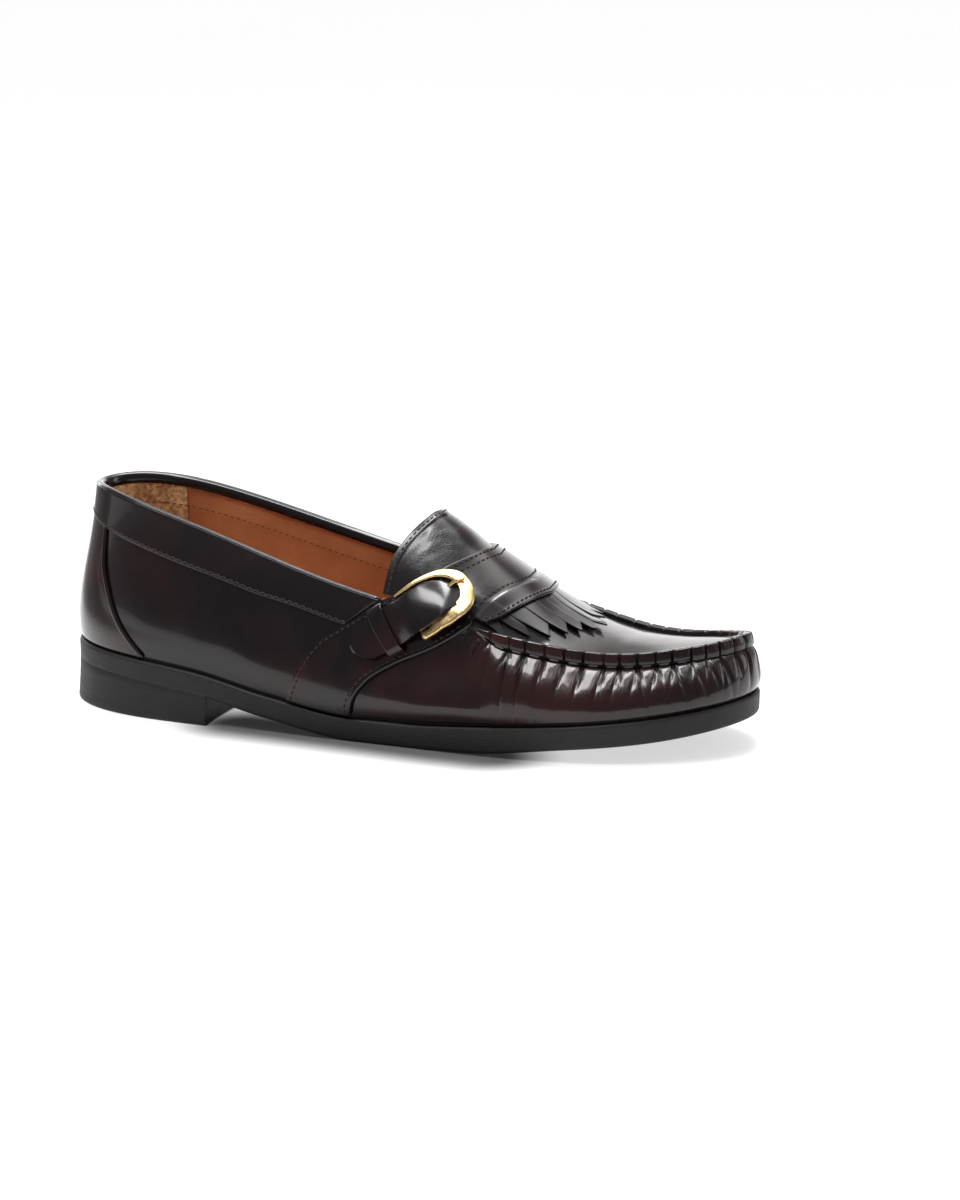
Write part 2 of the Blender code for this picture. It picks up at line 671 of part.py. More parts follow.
# Strap: tab with a rounded end, passed under the crown of the buckle and raised over its hidden bar.
along = np.concatenate([np.linspace(0, STRAP_LENGTH - STRAP_HALF, 11), STRAP_LENGTH - STRAP_HALF * (
    1 - np.sin(np.radians([22, 42, 60, 75, 84])))])
past = np.clip((along - STRAP_LENGTH + STRAP_HALF) / STRAP_HALF, 0, 1)
half = (STRAP_HALF - 1.8 + 1.8 * ramp(along, 8.0, 20.0)) * np.sqrt(1 - past ** 2)
strap_b = half * np.linspace(-1, 1, 7)[:, None]
strap_a = along + 0.0 * strap_b
strap_low = follow(strap_a, STRAP, STRAP_COLUMNS, "along", "low")
sheet("strap", on_saddle(strap_a, strap_b, strap_low + STRAP_THICKNESS),
      on_saddle(strap_a, strap_b, strap_low), (0.030, 0.010, 0.012), 0.16)

# Keeper: loop over the strap with its two legs down to the saddle.
keeper_a = np.repeat(np.linspace(KEEPER_START, KEEPER_END, 3)[:, None], len(KEEPER), 1)
outer, outer_high, inner, inner_high = [
    column(KEEPER, KEEPER_COLUMNS, name) + 0.0 * keeper_a for name in KEEPER_COLUMNS]
sheet("keeper", on_saddle(keeper_a, outer, outer_high), on_saddle(keeper_a, inner, inner_high),
      (0.026, 0.009, 0.011), 0.2)


# Section of a metal bar as shares of its half width and height: flat below, eased edges above.
BAR_SECTION = ((-1, 0.3), (-0.6, 0), (0.6, 0), (1, 0.3), (1, 0.7), (0.5, 1), (-0.5, 1), (-1, 0.7))


def bar(name, rows, names, steps, colour):
    """Metal bar along a path over the saddle, with eased upper edges."""
    path = np.stack([column(rows, names, n) for n in names], 1)
    run = np.concatenate(([0], np.cumsum(np.hypot(*np.diff(path[:, :2], axis=0).T))))
    at = np.linspace(0, run[-1], steps)
    a, b, wide, low, high = [smooth(at, run, path[:, i]) for i in range(5)]
    da = np.gradient(a, at)
    db = np.gradient(b, at)
    length = np.hypot(da, db)
    side = (-db / length, da / length)
    ring = []
    for share, height in BAR_SECTION:
        off = share * wide
        ring.append(on_saddle(a + off * side[0], b + off * side[1], low + (high - low) * height))
    ring = np.stack(ring, 1)
    sides = len(ring[0])
    faces = []
    for i in range(steps - 1):
        for j in range(sides):
            k = (j + 1) % sides
            faces.append((i * sides + j, i * sides + k, (i + 1) * sides + k, (i + 1) * sides + j))
    faces.append(tuple(range(sides))[::-1])
    faces.append(tuple((steps - 1) * sides + j for j in range(sides)))
    piece(name, ring.reshape(-1, 3), faces, colour, 0.2, 1.0)


# Buckle and its prong: gilt metal.
bar("buckle", BUCKLE, BUCKLE_COLUMNS, 31, (0.78, 0.56, 0.25))
bar("prong", PRONG, BUCKLE_COLUMNS, 8, (0.78, 0.56, 0.25))
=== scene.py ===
import math

import bpy
import numpy as np
from mathutils import Matrix, Vector


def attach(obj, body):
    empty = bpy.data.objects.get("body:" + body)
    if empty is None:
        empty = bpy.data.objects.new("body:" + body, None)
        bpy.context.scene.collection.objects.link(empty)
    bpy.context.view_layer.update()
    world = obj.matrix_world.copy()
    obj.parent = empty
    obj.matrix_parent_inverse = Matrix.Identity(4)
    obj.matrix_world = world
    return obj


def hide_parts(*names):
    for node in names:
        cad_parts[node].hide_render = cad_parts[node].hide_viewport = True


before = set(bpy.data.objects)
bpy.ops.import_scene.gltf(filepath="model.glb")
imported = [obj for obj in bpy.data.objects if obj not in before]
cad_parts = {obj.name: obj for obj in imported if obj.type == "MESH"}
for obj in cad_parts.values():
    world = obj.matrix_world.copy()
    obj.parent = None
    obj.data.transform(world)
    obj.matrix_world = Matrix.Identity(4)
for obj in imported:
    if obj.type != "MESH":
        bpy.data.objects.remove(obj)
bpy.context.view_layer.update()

# Camera: a long lens low over the toe side of the shoe, level with the floor, far enough back that the
# sole runs almost straight across the picture.
camera = bpy.data.objects.new("camera", bpy.data.cameras.new("camera"))
bpy.context.scene.collection.objects.link(camera)
camera.data.lens = 128.88
camera.data.clip_end = 60.0
turn, rise = math.radians(21.0), math.radians(11.93)
aim, distance, aside, lift = Vector((0.0006, -0.0004, 0.045)), 1.72783, 0.028325, 0.003969
back = Vector((math.sin(turn) * math.cos(rise), -math.cos(turn) * math.cos(rise), math.sin(rise)))
right = Vector((math.cos(turn), math.sin(turn), 0.0))
over = back.cross(right)
stand = aim + back * distance + right * aside + over * lift
camera.matrix_world = Matrix((
    (right.x, over.x, back.x, stand.x),
    (right.y, over.y, back.y, stand.y),
    (right.z, over.z, back.z, stand.z),
    (0.0, 0.0, 0.0, 1.0)))
bpy.context.scene.camera = camera


# Floor and light: a seamless pale floor with a painted contact shadow beside the sole, a bright room behind the
# shoe and a dim one in front. Two soft boxes hang overhead, each a fill for cloth and paper and a panel seen in
# the polish, and two stand at heel and toe.
# A black flag lies behind the heel, seen in the polish alone.
class Shade:
    """One socket of a node tree. Sums on values add Math nodes, and add() brings any other node."""

    def __init__(self, tree, socket=None):
        self.tree = tree
        self.socket = socket

    def add(self, kind, settings=None, sockets=None, out=0):
        node = self.tree.nodes.new("ShaderNode" + kind)
        for key, value in (settings or {}).items():
            setattr(node, key, value)
        feed(node, sockets or {})
        return Shade(self.tree, node.outputs[out])

    def sum(self, operation, a, b=0.0):
        return self.add("Math", {"operation": operation}, {0: a, 1: b})

    def __add__(self, other):
        return self.sum("ADD", self, other)

    def __sub__(self, other):
        return self.sum("SUBTRACT", self, other)

    def __rsub__(self, other):
        return self.sum("SUBTRACT", other, self)

    def __mul__(self, other):
        return self.sum("MULTIPLY", self, other)

    def vector(self, operation, other=(0.0, 0.0, 0.0)):
        """Vector sum, or its value where the operation gives one."""
        return self.add("VectorMath", {"operation": operation}, {0: self, 1: other},
                        int(operation in ("DOT_PRODUCT", "DISTANCE")))

    def axis(self, number):
        return self.add("SeparateXYZ", {}, {0: self}, number)

    def step(self, low, high):
        """0 below low, 1 above high, smooth between."""
        return self.add("MapRange", {"interpolation_type": "SMOOTHSTEP"},
                        {"Value": self, "From Min": low, "From Max": high})

    def mix(self, dark, light):
        """Colour between two colours by this value."""
        tones = {6: dark, 7: light}
        return self.add("Mix", {"data_type": "RGBA"}, {0: self, **{
            k: t if isinstance(t, Shade) else (*t, 1.0) for k, t in tones.items()}}, 2)

    def noise(self, scale, detail=2.0, rough=0.5, stretch=(1.0, 1.0, 1.0)):
        place = self.add("Mapping", {}, {"Vector": self, "Scale": stretch})
        return self.add("TexNoise", {}, {"Vector": place, "Scale": scale, "Detail": detail, "Roughness": rough})

    def bump(self, strength, distance):
        """Normal of a surface with this height."""
        return self.add("Bump", {}, {"Height": self, "Strength": strength, "Distance": distance})


def feed(node, inputs):
    """Values, colours and sockets given to the inputs of a node."""
    for key, value in inputs.items():
        if isinstance(value, Shade):
            node.id_data.links.new(value.socket, node.inputs[key])
        else:
            node.inputs[key].default_value = value


def material(name):
    """New material with its shader and its object coordinates."""
    made = bpy.data.materials.new(name)
    made.use_nodes = True
    shader = made.node_tree.nodes["Principled BSDF"]
    place = Shade(made.node_tree).add("TexCoord", out="Object")
    return made, shader, place


def grey(level):
    return level, level, level


MATTE = {"Roughness": 0.9, "Specular IOR Level": 0.1, "Emission Strength": 1.0}
# Painted contact shadow: within a few centimetres of a line beside the lateral sole the paper is darkened and
# its glow cut.
SHADOW_START = (-0.058, -0.034, 0.0)
SHADOW_RUN = (0.110, -0.015, 0.0)
SHADOW_SHARE = (8.9, -1.2, 0.0)
SHADOW_CORE, SHADOW_EDGE = 0.008, 0.034
bpy.ops.mesh.primitive_circle_add(vertices=96, radius=14.0, fill_type="NGON")
floor = bpy.context.object
floor.name = "floor"
paper, shader, place = material("floor paper")
run = place.vector("SUBTRACT", SHADOW_START)
share = place.add("Clamp", {}, {"Value": run.vector("DOT_PRODUCT", SHADOW_SHARE)})
nearest = place.add("VectorMath", {"operation": "SCALE"}, {0: SHADOW_RUN, "Scale": share})
under = 1 - run.vector("DISTANCE", nearest).step(SHADOW_CORE, SHADOW_EDGE)
paper_tone = place.noise(3.0, 3.0).mix(grey(0.47), grey(0.49))
feed(shader, {
    **MATTE,
    "Base Color": under.mix(paper_tone, grey(0.14)),
    "Emission Color": under.mix(grey(0.62), grey(0.025)),
})
floor.data.materials.append(paper)

FLAG_AT = Vector((-3.0, 2.6, 0.0004))
FLAG_SIDE = (-0.886, -0.463, 0.0)
bpy.ops.mesh.primitive_grid_add(x_subdivisions=2, y_subdivisions=2, size=6.0)
flag = bpy.context.object
flag.name = "black_flag"
for corner in flag.data.vertices:
    corner.co = corner.co + FLAG_AT
felt, shader, place = material("black flag")
feed(shader, {
    **MATTE,
    "Base Color": (*grey(0.1), 1.0),
    "Emission Color": (*grey(0.05), 1.0),
    "Alpha": place.vector("DOT_PRODUCT", FLAG_SIDE).step(0.20, 0.34) * place.axis(1).step(-0.24, -0.08),
})
flag.data.materials.append(felt)
flag.visible_camera = flag.visible_diffuse = flag.visible_shadow = False

room = bpy.context.scene.world or bpy.data.worlds.new("room")
bpy.context.scene.world = room
room.use_nodes = True
sky = Shade(room.node_tree).add("TexCoord", out="Generated")
level = sky.vector("MULTIPLY", (1.0, 1.0, 0.0)).vector("NORMALIZE")
depth = level.vector("DOT_PRODUCT", (-0.1, 0.995, 0.0))
left = level.vector("DOT_PRODUCT", (-0.42, 0.907, 0.0))
height = sky.axis(2)
tone = left.step(0.78, 0.97).mix((0.055, 0.055, 0.058), grey(0.45))
tone = (left.step(0.94, 0.985) * height.step(0.30, 0.44)).mix(tone, grey(0.11))
tone = (depth.step(0.45, 0.85) * height.step(0.64, 0.80)).mix(tone, grey(0.80))
tone = height.step(0.86, 1.0).mix(tone, grey(0.25))
feed(room.node_tree.nodes["Background"], {"Color": tone, "Strength": 4.0})

for name, place, aim, width, height, watts, matte, polish in (
        ("overhead fill", (0.06, 0.42, 1.15), (0.06, 0.419, 0.0), 0.24, 0.56, 11.0, True, False),
        ("side fill", (-0.46, -0.44, 1.15), (-0.46, -0.441, 0.0), 0.50, 0.46, 10.5, True, False),
        ("overhead box", (0.01, 0.23, 1.15), (0.01, 0.229, 0.0), 0.18, 0.86, 9.8, False, True),
        ("side box", (-0.30, -0.345, 1.15), (-0.30, -0.346, 0.0), 0.84, 0.29, 13.5, False, True),
        ("heel box", (-1.0, 0.65, 0.40), (-0.10, 0.0, 0.05), 0.3, 0.8, 2.2, True, True),
        ("toe box", (1.1, 0.45, 0.5), (0.1, 0.0, 0.04), 0.3, 0.8, 2.5, True, True),
):
    lamp = bpy.data.objects.new(name, bpy.data.lights.new(name, "AREA"))
    bpy.context.scene.collection.objects.link(lamp)
    lamp.data.shape = "RECTANGLE"
    lamp.data.size = width
    lamp.data.size_y = height
    lamp.data.energy = watts
    lamp.visible_diffuse = matte
    lamp.visible_glossy = polish
    lamp.location = place
    lamp.rotation_mode = "QUATERNION"
    lamp.rotation_quaternion = (Vector(aim) - Vector(place)).to_track_quat("-Z", "Y")
bpy.context.scene.view_settings.view_transform = "Standard"

# Outsole: one slab of black rubber cut to the outline of the last, thin at the waist and sprung at the toe,
# its edge trimmed and polished, its lower corner eased. The upper is cemented on top of it.
MM = 0.001
CENTRE = np.array([146.0, 0.42, 0.0])
HEEL_TIP = {"x": 1.5, "y": 0.0, "rail_x": 11.0, "rail_y": 0.0, "rail_z": 89.5, "belly": 2.4}
TOE_TIP = {"x": 291.0, "y": 6.0, "rail_x": 286.4, "rail_y": 7.0, "rail_z": 45.2, "belly": 2.4}
RIB_COLUMNS = ("x", "lateral", "medial", "rail_x", "rail_lateral", "rail_medial",
               "rail_z_lateral", "rail_z_medial", "belly")
RIBS = (
    (11.0, 20.0, 21.0, 18.0, 14.5, 14.0, 89.6, 90.0, 2.4),
    (35.0, 34.6, 32.0, 37.0, 25.5, 24.5, 86.6, 88.0, 2.6),
    (76.0, 41.0, 32.8, 76.0, 30.5, 27.5, 76.1, 79.6, 3.0),
    (121.0, 43.8, 32.6, 121.0, 32.8, 28.5, 62.3, 67.6, 3.2),
    (166.0, 47.0, 41.8, 166.0, 35.2, 33.5, 52.2, 55.4, 4.2),
    (206.0, 49.8, 50.2, 206.0, 37.6, 37.0, 45.9, 46.2, 5.0),
    (241.0, 46.0, 48.2, 241.0, 29.0, 31.5, 40.7, 39.6, 5.2),
    (268.0, 32.6, 39.0, 266.0, 18.0, 27.0, 42.2, 40.4, 4.4),
    (285.5, 14.0, 24.0, 280.5, 6.6, 18.6, 44.2, 43.2, 3.0),
)
SOLE_COLUMNS = ("x", "top", "low")
SOLE = (
    (0.0, 25.6, 16.4),
    (33.0, 24.2, 15.2),
    (67.0, 21.3, 12.4),
    (102.0, 14.4, 5.4),
    (140.0, 9.2, 0.0),
    (165.0, 9.4, 0.0),
    (188.0, 11.0, 0.5),
    (228.0, 14.3, 4.9),
    (264.0, 17.8, 8.4),
    (291.0, 21.6, 12.6),
)
SOLE_EDGE_COLUMNS = ("inset", "from_top", "share")
SOLE_EDGE = (
    (1.6, 0.0, 0.0),
    (0.9, -0.05, 0.0),
    (0.35, -0.35, 0.0),
    (0.05, -1.0, 0.0),
    (0.0, -1.6, 0.0),
    (0.05, 0.0, 0.35),
    (0.15, 0.0, 0.7),
    (0.25, 1.1, 1.0),
    (0.55, 0.4, 1.0),
    (1.1, 0.0, 1.0),
    (2.2, 0.0, 1.0),
)


def column(rows, names, name):
    return np.array([row[names.index(name)] for row in rows])


def smooth(x, xs, ys):
    """Smooth curve through a table that never runs past its rows."""
    h = np.diff(xs)
    d = np.diff(ys) / h
    inner = np.where(d[1:] * d[:-1] > 0, 2 * d[1:] * d[:-1] / (d[1:] + d[:-1] + 1e-12), 0)
    m = np.concatenate(([d[0]], inner, [d[-1]]))
    i = np.clip(np.searchsorted(xs, x) - 1, 0, len(xs) - 2)
    t = np.clip((x - xs[i]) / h[i], 0, 1)
    start = (1 + 2 * t) * (1 - t) ** 2 * ys[i] + t * (1 - t) ** 2 * h[i] * m[i]
    return start + t * t * (3 - 2 * t) * ys[i + 1] - t * t * (1 - t) * h[i] * m[i + 1]


def follow(x, rows, names, given, wanted):
    return smooth(np.asarray(x, float), column(rows, names, given), column(rows, names, wanted))


def ramp(x, start, end):
    t = np.clip((np.asarray(x, float) - start) / (end - start), 0, 1)
    return t * t * (3 - 2 * t)


def loop(tip, lateral, medial, sign=1.0):
    """One rib column taken round the shoe: heel tip, lateral side, toe tip, medial side."""
    lat = sign * column(RIBS, RIB_COLUMNS, lateral)
    med = column(RIBS, RIB_COLUMNS, medial)
    return np.concatenate(([HEEL_TIP[tip]], lat, [TOE_TIP[tip]], med[::-1]))


CONTROL = np.stack([
    loop("x", "x", "x"),
    loop("y", "lateral", "medial", -1),
    loop("rail_x", "rail_x", "rail_x"),
    loop("rail_y", "rail_lateral", "rail_medial", -1),
    loop("rail_z", "rail_z_lateral", "rail_z_medial"),
    loop("belly", "belly", "belly"),
], 1)
STEP = np.hypot(*np.diff(np.vstack([CONTROL, CONTROL[:1]])[:, :2], axis=0).T) ** 0.75
KNOTS = np.concatenate(([0], np.cumsum(STEP))) / STEP.sum()
TIP_U = KNOTS[len(RIBS) + 1]


def bends(knots, values):
    """Second derivatives of the smooth closed curve through the ribs."""
    n = len(values)
    h = np.diff(knots)
    a = np.zeros((n, n))
    b = np.zeros_like(values)
    for i in range(n):
        p = i - 1
        a[i, p] += h[p]
        a[i, i] += 2 * (h[p] + h[i])
        a[i, (i + 1) % n] += h[i]
        b[i] = 6 * ((values[(i + 1) % n] - values[i]) / h[i] - (values[i] - values[p]) / h[p])
    return np.linalg.solve(a, b)


BEND = bends(KNOTS, CONTROL)


def around(u):
    """Edge x, y, rail x, y, z and belly at the place u round the shoe, 0 at the heel tip."""
    u = np.asarray(u, float) % 1.0
    i = np.clip(np.searchsorted(KNOTS, u, side="right") - 1, 0, len(CONTROL) - 1)
    j = (i + 1) % len(CONTROL)
    h = (KNOTS[i + 1] - KNOTS[i])[..., None]
    b = (u - KNOTS[i])[..., None] / h
    a = 1 - b
    curve = h * h * ((a ** 3 - a) * BEND[i] + (b ** 3 - b) * BEND[j]) / 6
    return a * CONTROL[i] + b * CONTROL[j] + curve


def unit(v):
    return v / np.linalg.norm(v, axis=-1, keepdims=True)


def outward(u):
    """Unit direction out of the sole's edge, in plan."""
    t = around(np.asarray(u) + 1e-4)[..., :2] - around(np.asarray(u) - 1e-4)[..., :2]
    return unit(np.stack([t[..., 1], -t[..., 0]], -1))


def sole_top(x):
    return follow(x, SOLE, SOLE_COLUMNS, "x", "top")


def sole_low(x):
    return follow(x, SOLE, SOLE_COLUMNS, "x", "low")


def side_u(s):
    """Place round the shoe for s 0 at the heel, 0.5 at the toe, 1 at the heel, paired across the sole."""
    s = np.asarray(s, float)
    h = np.arange(len(RIBS) + 2) / (len(RIBS) + 1)
    lateral = np.interp(2 * s, h, KNOTS[:len(h)])
    medial = np.interp(2 * (1 - s), h, KNOTS[::-1][:len(h)])
    return np.where(s <= 0.5, lateral, medial)


def blank(name, across, along, place):
    """Flat blank of small squares, laid on the shoe by place(s, t) in millimetres."""
    bpy.ops.mesh.primitive_grid_add(x_subdivisions=across, y_subdivisions=along, size=1.0)
    piece = bpy.context.object
    piece.name = piece.data.name = name
    flat = np.empty(len(piece.data.vertices) * 3, np.float32)
    piece.data.vertices.foreach_get("co", flat)
    flat = flat.reshape(-1, 3).astype(float) + 0.5
    laid = (place(np.clip(flat[:, 0], 0, 1), np.clip(flat[:, 1], 0, 1)) - CENTRE) * MM
    piece.data.vertices.foreach_set("co", laid.astype(np.float32).ravel())
    piece.data.update()
    return piece


MERGE = 0.00002
SMOOTH_ANGLE = math.radians(50)


def pick(piece, *others):
    """The piece made active, and selected with the others."""
    bpy.ops.object.select_all(action="DESELECT")
    for each in (piece, *others):
        each.select_set(True)
    bpy.context.view_layer.objects.active = piece


def work(piece, *steps):
    """Doubles merged, then each step done on the mesh in edit mode."""
    pick(piece)
    bpy.ops.object.mode_set(mode="EDIT")
    bpy.ops.mesh.select_all(action="SELECT")
    bpy.ops.mesh.remove_doubles(threshold=MERGE)
    for step in steps:
        step()
    bpy.ops.object.mode_set(mode="OBJECT")


def tidy(piece):
    """Doubles merged, normals set outwards and faces shaded smooth."""
    work(piece, bpy.ops.mesh.normals_make_consistent)
    bpy.ops.object.shade_smooth_by_angle(angle=SMOOTH_ANGLE)
    return piece


def fix(piece, finish, slot, *nodes):
    """The piece in its finish, on the shoe's one body, in place of the nodes that it shows."""
    piece.data.materials.append(finish)
    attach(piece, "root")
    if nodes:
        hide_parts(*nodes)


def raised(plan, z):
    return np.concatenate([plan, z[..., None]], -1)


def slab(rows, top, low, take=side_u, face=0.22, hollow=0.0):
    """Placing rule of a closed slab: face from the middle out, edge profile, face back to the middle."""
    columns = [column(rows, SOLE_EDGE_COLUMNS, name) for name in SOLE_EDGE_COLUMNS]
    n = np.arange(len(rows))

    def place(s, t):
        row = np.interp(t, np.linspace(face, 1 - face, len(n)), n)
        inset, drop, share = [np.interp(row, n, values) for values in columns]
        edge, other = [around(u)[:, :2] - inset[:, None] * outward(u) for u in (take(s), take(1 - s))]
        inner = np.clip(np.maximum(face - t, t - (1 - face)) / face, 0, 1) * 0.5
        plan = edge + (other - edge) * inner[:, None]
        at_end = np.minimum(s, 1 - s) < 5e-7
        plan[:, 0] -= np.where(at_end, hollow * (1 - (1 - 2 * inner) ** 2), 0.0)
        return raised(plan, top(plan[:, 0]) * (1 - share) + low(plan[:, 0]) * share + drop)
    return place


outsole = tidy(blank("outsole_rubber", 360, 50, slab(SOLE_EDGE, sole_top, sole_low)))
black_rubber, shader, place = material("black rubber")
scuff = place.noise(420.0, 4.0, 0.6, (0.25, 0.25, 1.6))
feed(shader, {
    "Base Color": place.noise(60.0, 3.0).mix((0.0125, 0.0125, 0.0135), (0.023, 0.023, 0.025)),
    "Roughness": scuff * 0.25 + 0.42,
    "Specular IOR Level": 0.24,
    "Normal": (place.noise(1500.0) * 0.5 + scuff * 0.8 + place.noise(90.0, 3.0) * 1.2).bump(0.5, 0.0003),
})
fix(outsole, black_rubber, "sole_rubber", "outsole")

# Heel: a block of the same black rubber under the seat, flared a little towards the floor and cut square at its
# hollow breast. It is cemented to the outsole.
HEEL_GAP = 0.05
HEEL_FACE = 0.25
BREAST_X = 74.6
BREAST_HOLLOW = 2.5
HEEL_EDGE = (
    (1.4, 0.1, 0.0),
    (0.66, 0.45, 0.0),
    (0.32, 1.0, 0.0),
    (0.18, 0.85, 0.0),
    (-0.25, 0.0, 0.5),
    (-0.7, 1.3, 1.0),
    (-0.5, 0.45, 1.0),
    (0.2, 0.0, 1.0),
    (1.6, 0.0, 1.0),
)
DENSE = np.linspace(0, 1, 8001)
EDGE = around(DENSE)
near_edge = DENSE < TIP_U / 2
far_edge = DENSE > (1 + TIP_U) / 2
BREAST_U = (np.interp(BREAST_X, EDGE[near_edge, 0], DENSE[near_edge]),
            np.interp(-BREAST_X, -EDGE[far_edge, 0], DENSE[far_edge]))


def heel_u(s):
    """Round the heel seat from the lateral corner of the breast to the medial one."""
    return np.where(s <= 0.5, BREAST_U[0] * (1 - 2 * s), 1 + (BREAST_U[1] - 1) * (2 * s - 1))


heel = blank("heel_block", 150, 48, slab(
    HEEL_EDGE, lambda x: sole_low(x) - HEEL_GAP, lambda x: 0.0 * x, heel_u, HEEL_FACE, BREAST_HOLLOW))
work(heel, lambda: bpy.ops.mesh.select_all(action="DESELECT"),
     bpy.ops.mesh.select_non_manifold, bpy.ops.mesh.fill)
fix(tidy(heel), black_rubber, "sole_rubber", "heel")

# Insole: the leather board that the upper is lasted round, laid on the outsole between the walls. Its sock of
# tan leather is glued on and worn smooth.
INSOLE_EDGE = ((4.5, 0.0, 0.0), (4.5, -0.9, 0.0), (4.5, 0.0, 1.0))
INSOLE_LOW, INSOLE_TOP = 0.3, 2.1
insole = tidy(blank("insole_sock", 160, 24, slab(
    INSOLE_EDGE, lambda x: sole_top(x) + INSOLE_TOP, lambda x: sole_top(x) + INSOLE_LOW)))
tan_leather, shader, place = material("tan lining leather")
cloud = place.noise(26.0, 4.0, 0.6)
pore = place.add("TexVoronoi", {}, {"Vector": place, "Scale": 1500.0})
feed(shader, {
    "Base Color": cloud.step(0.3, 0.75).mix((0.43, 0.155, 0.062), (0.60, 0.250, 0.106)),
    "Roughness": cloud * 0.2 + 0.36,
    "Normal": (pore * 0.6 + place.noise(260.0, 3.0)).bump(0.3, 0.00025),
})
fix(insole, tan_leather, "lining_leather", "insole")

# Upper: vamp and quarters of burnished oxblood leather lasted over the foot, gathered under a standing
# moccasin seam round the toe, where the flat plug is sewn in. Each stitch pulls a small pleat in the wall.
WELT = 2.0
WALL = 1.9
JOINT_GAP = 0.3
LIP_HEIGHT = 5.3
LIP_DROP = 2.4
LIP_WIDTH = 3.4
LIP_START_X = 184.0
LIP_FULL_X = 203.0
PLUG_FOOT = 0.65 * LIP_WIDTH
ROOF_DROP = 1.25 * WALL
THROAT_SIDE_X = 148.0
THROAT_TOP_X = 188.0
THROAT_POWER = 3.5
FAN_X = 262.0
WAIST_X = (125.0, 175.0)
TOE_X = (235.0, 284.0)
CREST_COLUMNS = ("x", "z")
CREST = (
    (146.0, 86.0),
    (154.0, 87.4),
    (160.0, 86.6),
    (169.0, 81.4),
    (177.0, 74.8),
    (184.0, 70.4),
    (195.0, 63.2),
    (203.0, 57.8),
    (214.0, 50.2),
    (227.0, 43.8),
    (241.0, 41.0),
    (256.0, 40.4),
    (272.0, 41.4),
    (287.0, 42.8),
)
RAIL = EDGE[:, 2:5]
SEAM = np.concatenate(([0.0], np.cumsum(np.linalg.norm(np.diff(RAIL, axis=0), axis=1))))
PLEAT_COLUMNS = ("rail_x", "pitch", "reach", "lean")
PLEATS = (
    (188.0, 7.8, 9.0, -0.55),
    (205.0, 7.6, 12.0, -0.25),
    (222.0, 7.4, 13.0, 0.0),
    (240.0, 7.0, 14.0, 0.14),
    (254.0, 6.7, 17.0, 0.42),
    (266.0, 6.5, 19.0, 0.46),
    (278.0, 6.2, 20.0, 0.28),
    (286.4, 6.0, 18.0, 0.0),
)
PULLS = (
    (186.0, -0.50, 1.0, 16.0, 0.9, 0.65),
    (193.0, -0.48, 0.5, 12.0, 0.9, 0.70),
    (195.5, -0.30, 5.0, 13.0, 0.7, 0.40),
)
PLEAT_START_X = 188.0
PLEAT_DEPTH = 1.0
PLEAT_WIDTH = 0.62
FOLD_LIMIT = 1.45
WALL_SLANT = 1.08
PUFF_PEAK = 6.0
FIRST_PLEATS_X = (212.0, 228.0)
LAST_PLEATS_X = (226.0, 256.0)
TUCK_DEPTH = 0.6
TUCK_REACH = 0.8
PULL_REACH = 13.0
RIDGE_COLUMNS = ("out", "up")
RIDGE = (
    (0.45, -0.97),
    (0.36, -0.93),
    (0.38, -0.85),
    (0.59, -0.80),
    (0.56, -0.58),
    (0.44, -0.25),
    (0.37, -0.10),
    (0.28, -0.01),
    (0.18, 0.03),
    (-0.10, 0.03),
    (-0.32, 0.0),
    (-0.46, -0.08),
    (-0.52, -0.18),
    (-0.57, -0.31),
    (-0.65, -0.43),
)
RIDGE_GROOVE = (0.0, 0.6, 2.6, 3.2)
RIDGE_FACE = (3.0, 4.0, 6.0, 7.5)
RIDGE_TOP = (6.0, 7.5, 12.0, 14.0)


def lip(x):
    return ramp(x, LIP_START_X, LIP_FULL_X)


def wall(u, v, out=0.0):
    """Point on the side of the upper: v 0 at the sole, 1 at the topline or under the standing seam."""
    u, v = np.broadcast_arrays(np.asarray(u, float), np.asarray(v, float))
    rib = around(u)
    h = outward(u)
    foot = rib[..., :2] - WELT * h
    size = lip(rib[..., 2])
    head = rib[..., 2:4] + (0.5 * LIP_WIDTH * size)[..., None] * h
    low = sole_top(foot[..., 0]) + JOINT_GAP
    high = rib[..., 4] - LIP_HEIGHT * size
    inset = ((foot - head) * h).sum(-1)
    rise = high - low
    at = 0.26 - 0.06 * ramp(rib[..., 2], *WAIST_X) + 0.10 * ramp(rib[..., 2], *TOE_X)
    power = (1 - at) / at
    swell = v * np.clip(1 - v, 0, 1) ** power / (at * (1 - at) ** power)
    full = np.clip(v, 0, 1) ** 0.6 * np.clip(1 - v, 0, 1) / 0.347
    push = rib[..., 5] * (swell + (full - swell) * size) + out
    span = np.hypot(inset, rise)
    plan = foot + (head - foot) * v[..., None] + h * (push * rise / span)[..., None]
    return raised(plan, low + rise * v + push * inset / span)


def rail_side(x, lateral):
    """Rail y, z and place u at the rail's x on one side."""
    keep = DENSE <= TIP_U if lateral else DENSE >= TIP_U
    order = np.argsort(RAIL[keep, 0])
    xs = RAIL[keep, 0][order]
    return [np.interp(x, xs, q[keep][order]) for q in (RAIL[:, 1], RAIL[:, 2], DENSE)]


def arch(x, y):
    """Height of the vamp and plug over the foot."""
    lat_y, lat_z, _ = rail_side(x, True)
    med_y, med_z, _ = rail_side(x, False)
    size = lip(x)
    half = (med_y - lat_y) / 2 - PLUG_FOOT * size
    s = (y - (lat_y + med_y) / 2) / np.maximum(half, 0.5)
    edge = (lat_z + med_z) / 2 + s * (med_z - lat_z) / 2 - LIP_DROP * size
    crest = follow(x, CREST, CREST_COLUMNS, "x", "z")
    return edge + (crest - edge) * (1 - np.clip(s * s, 0, 1))


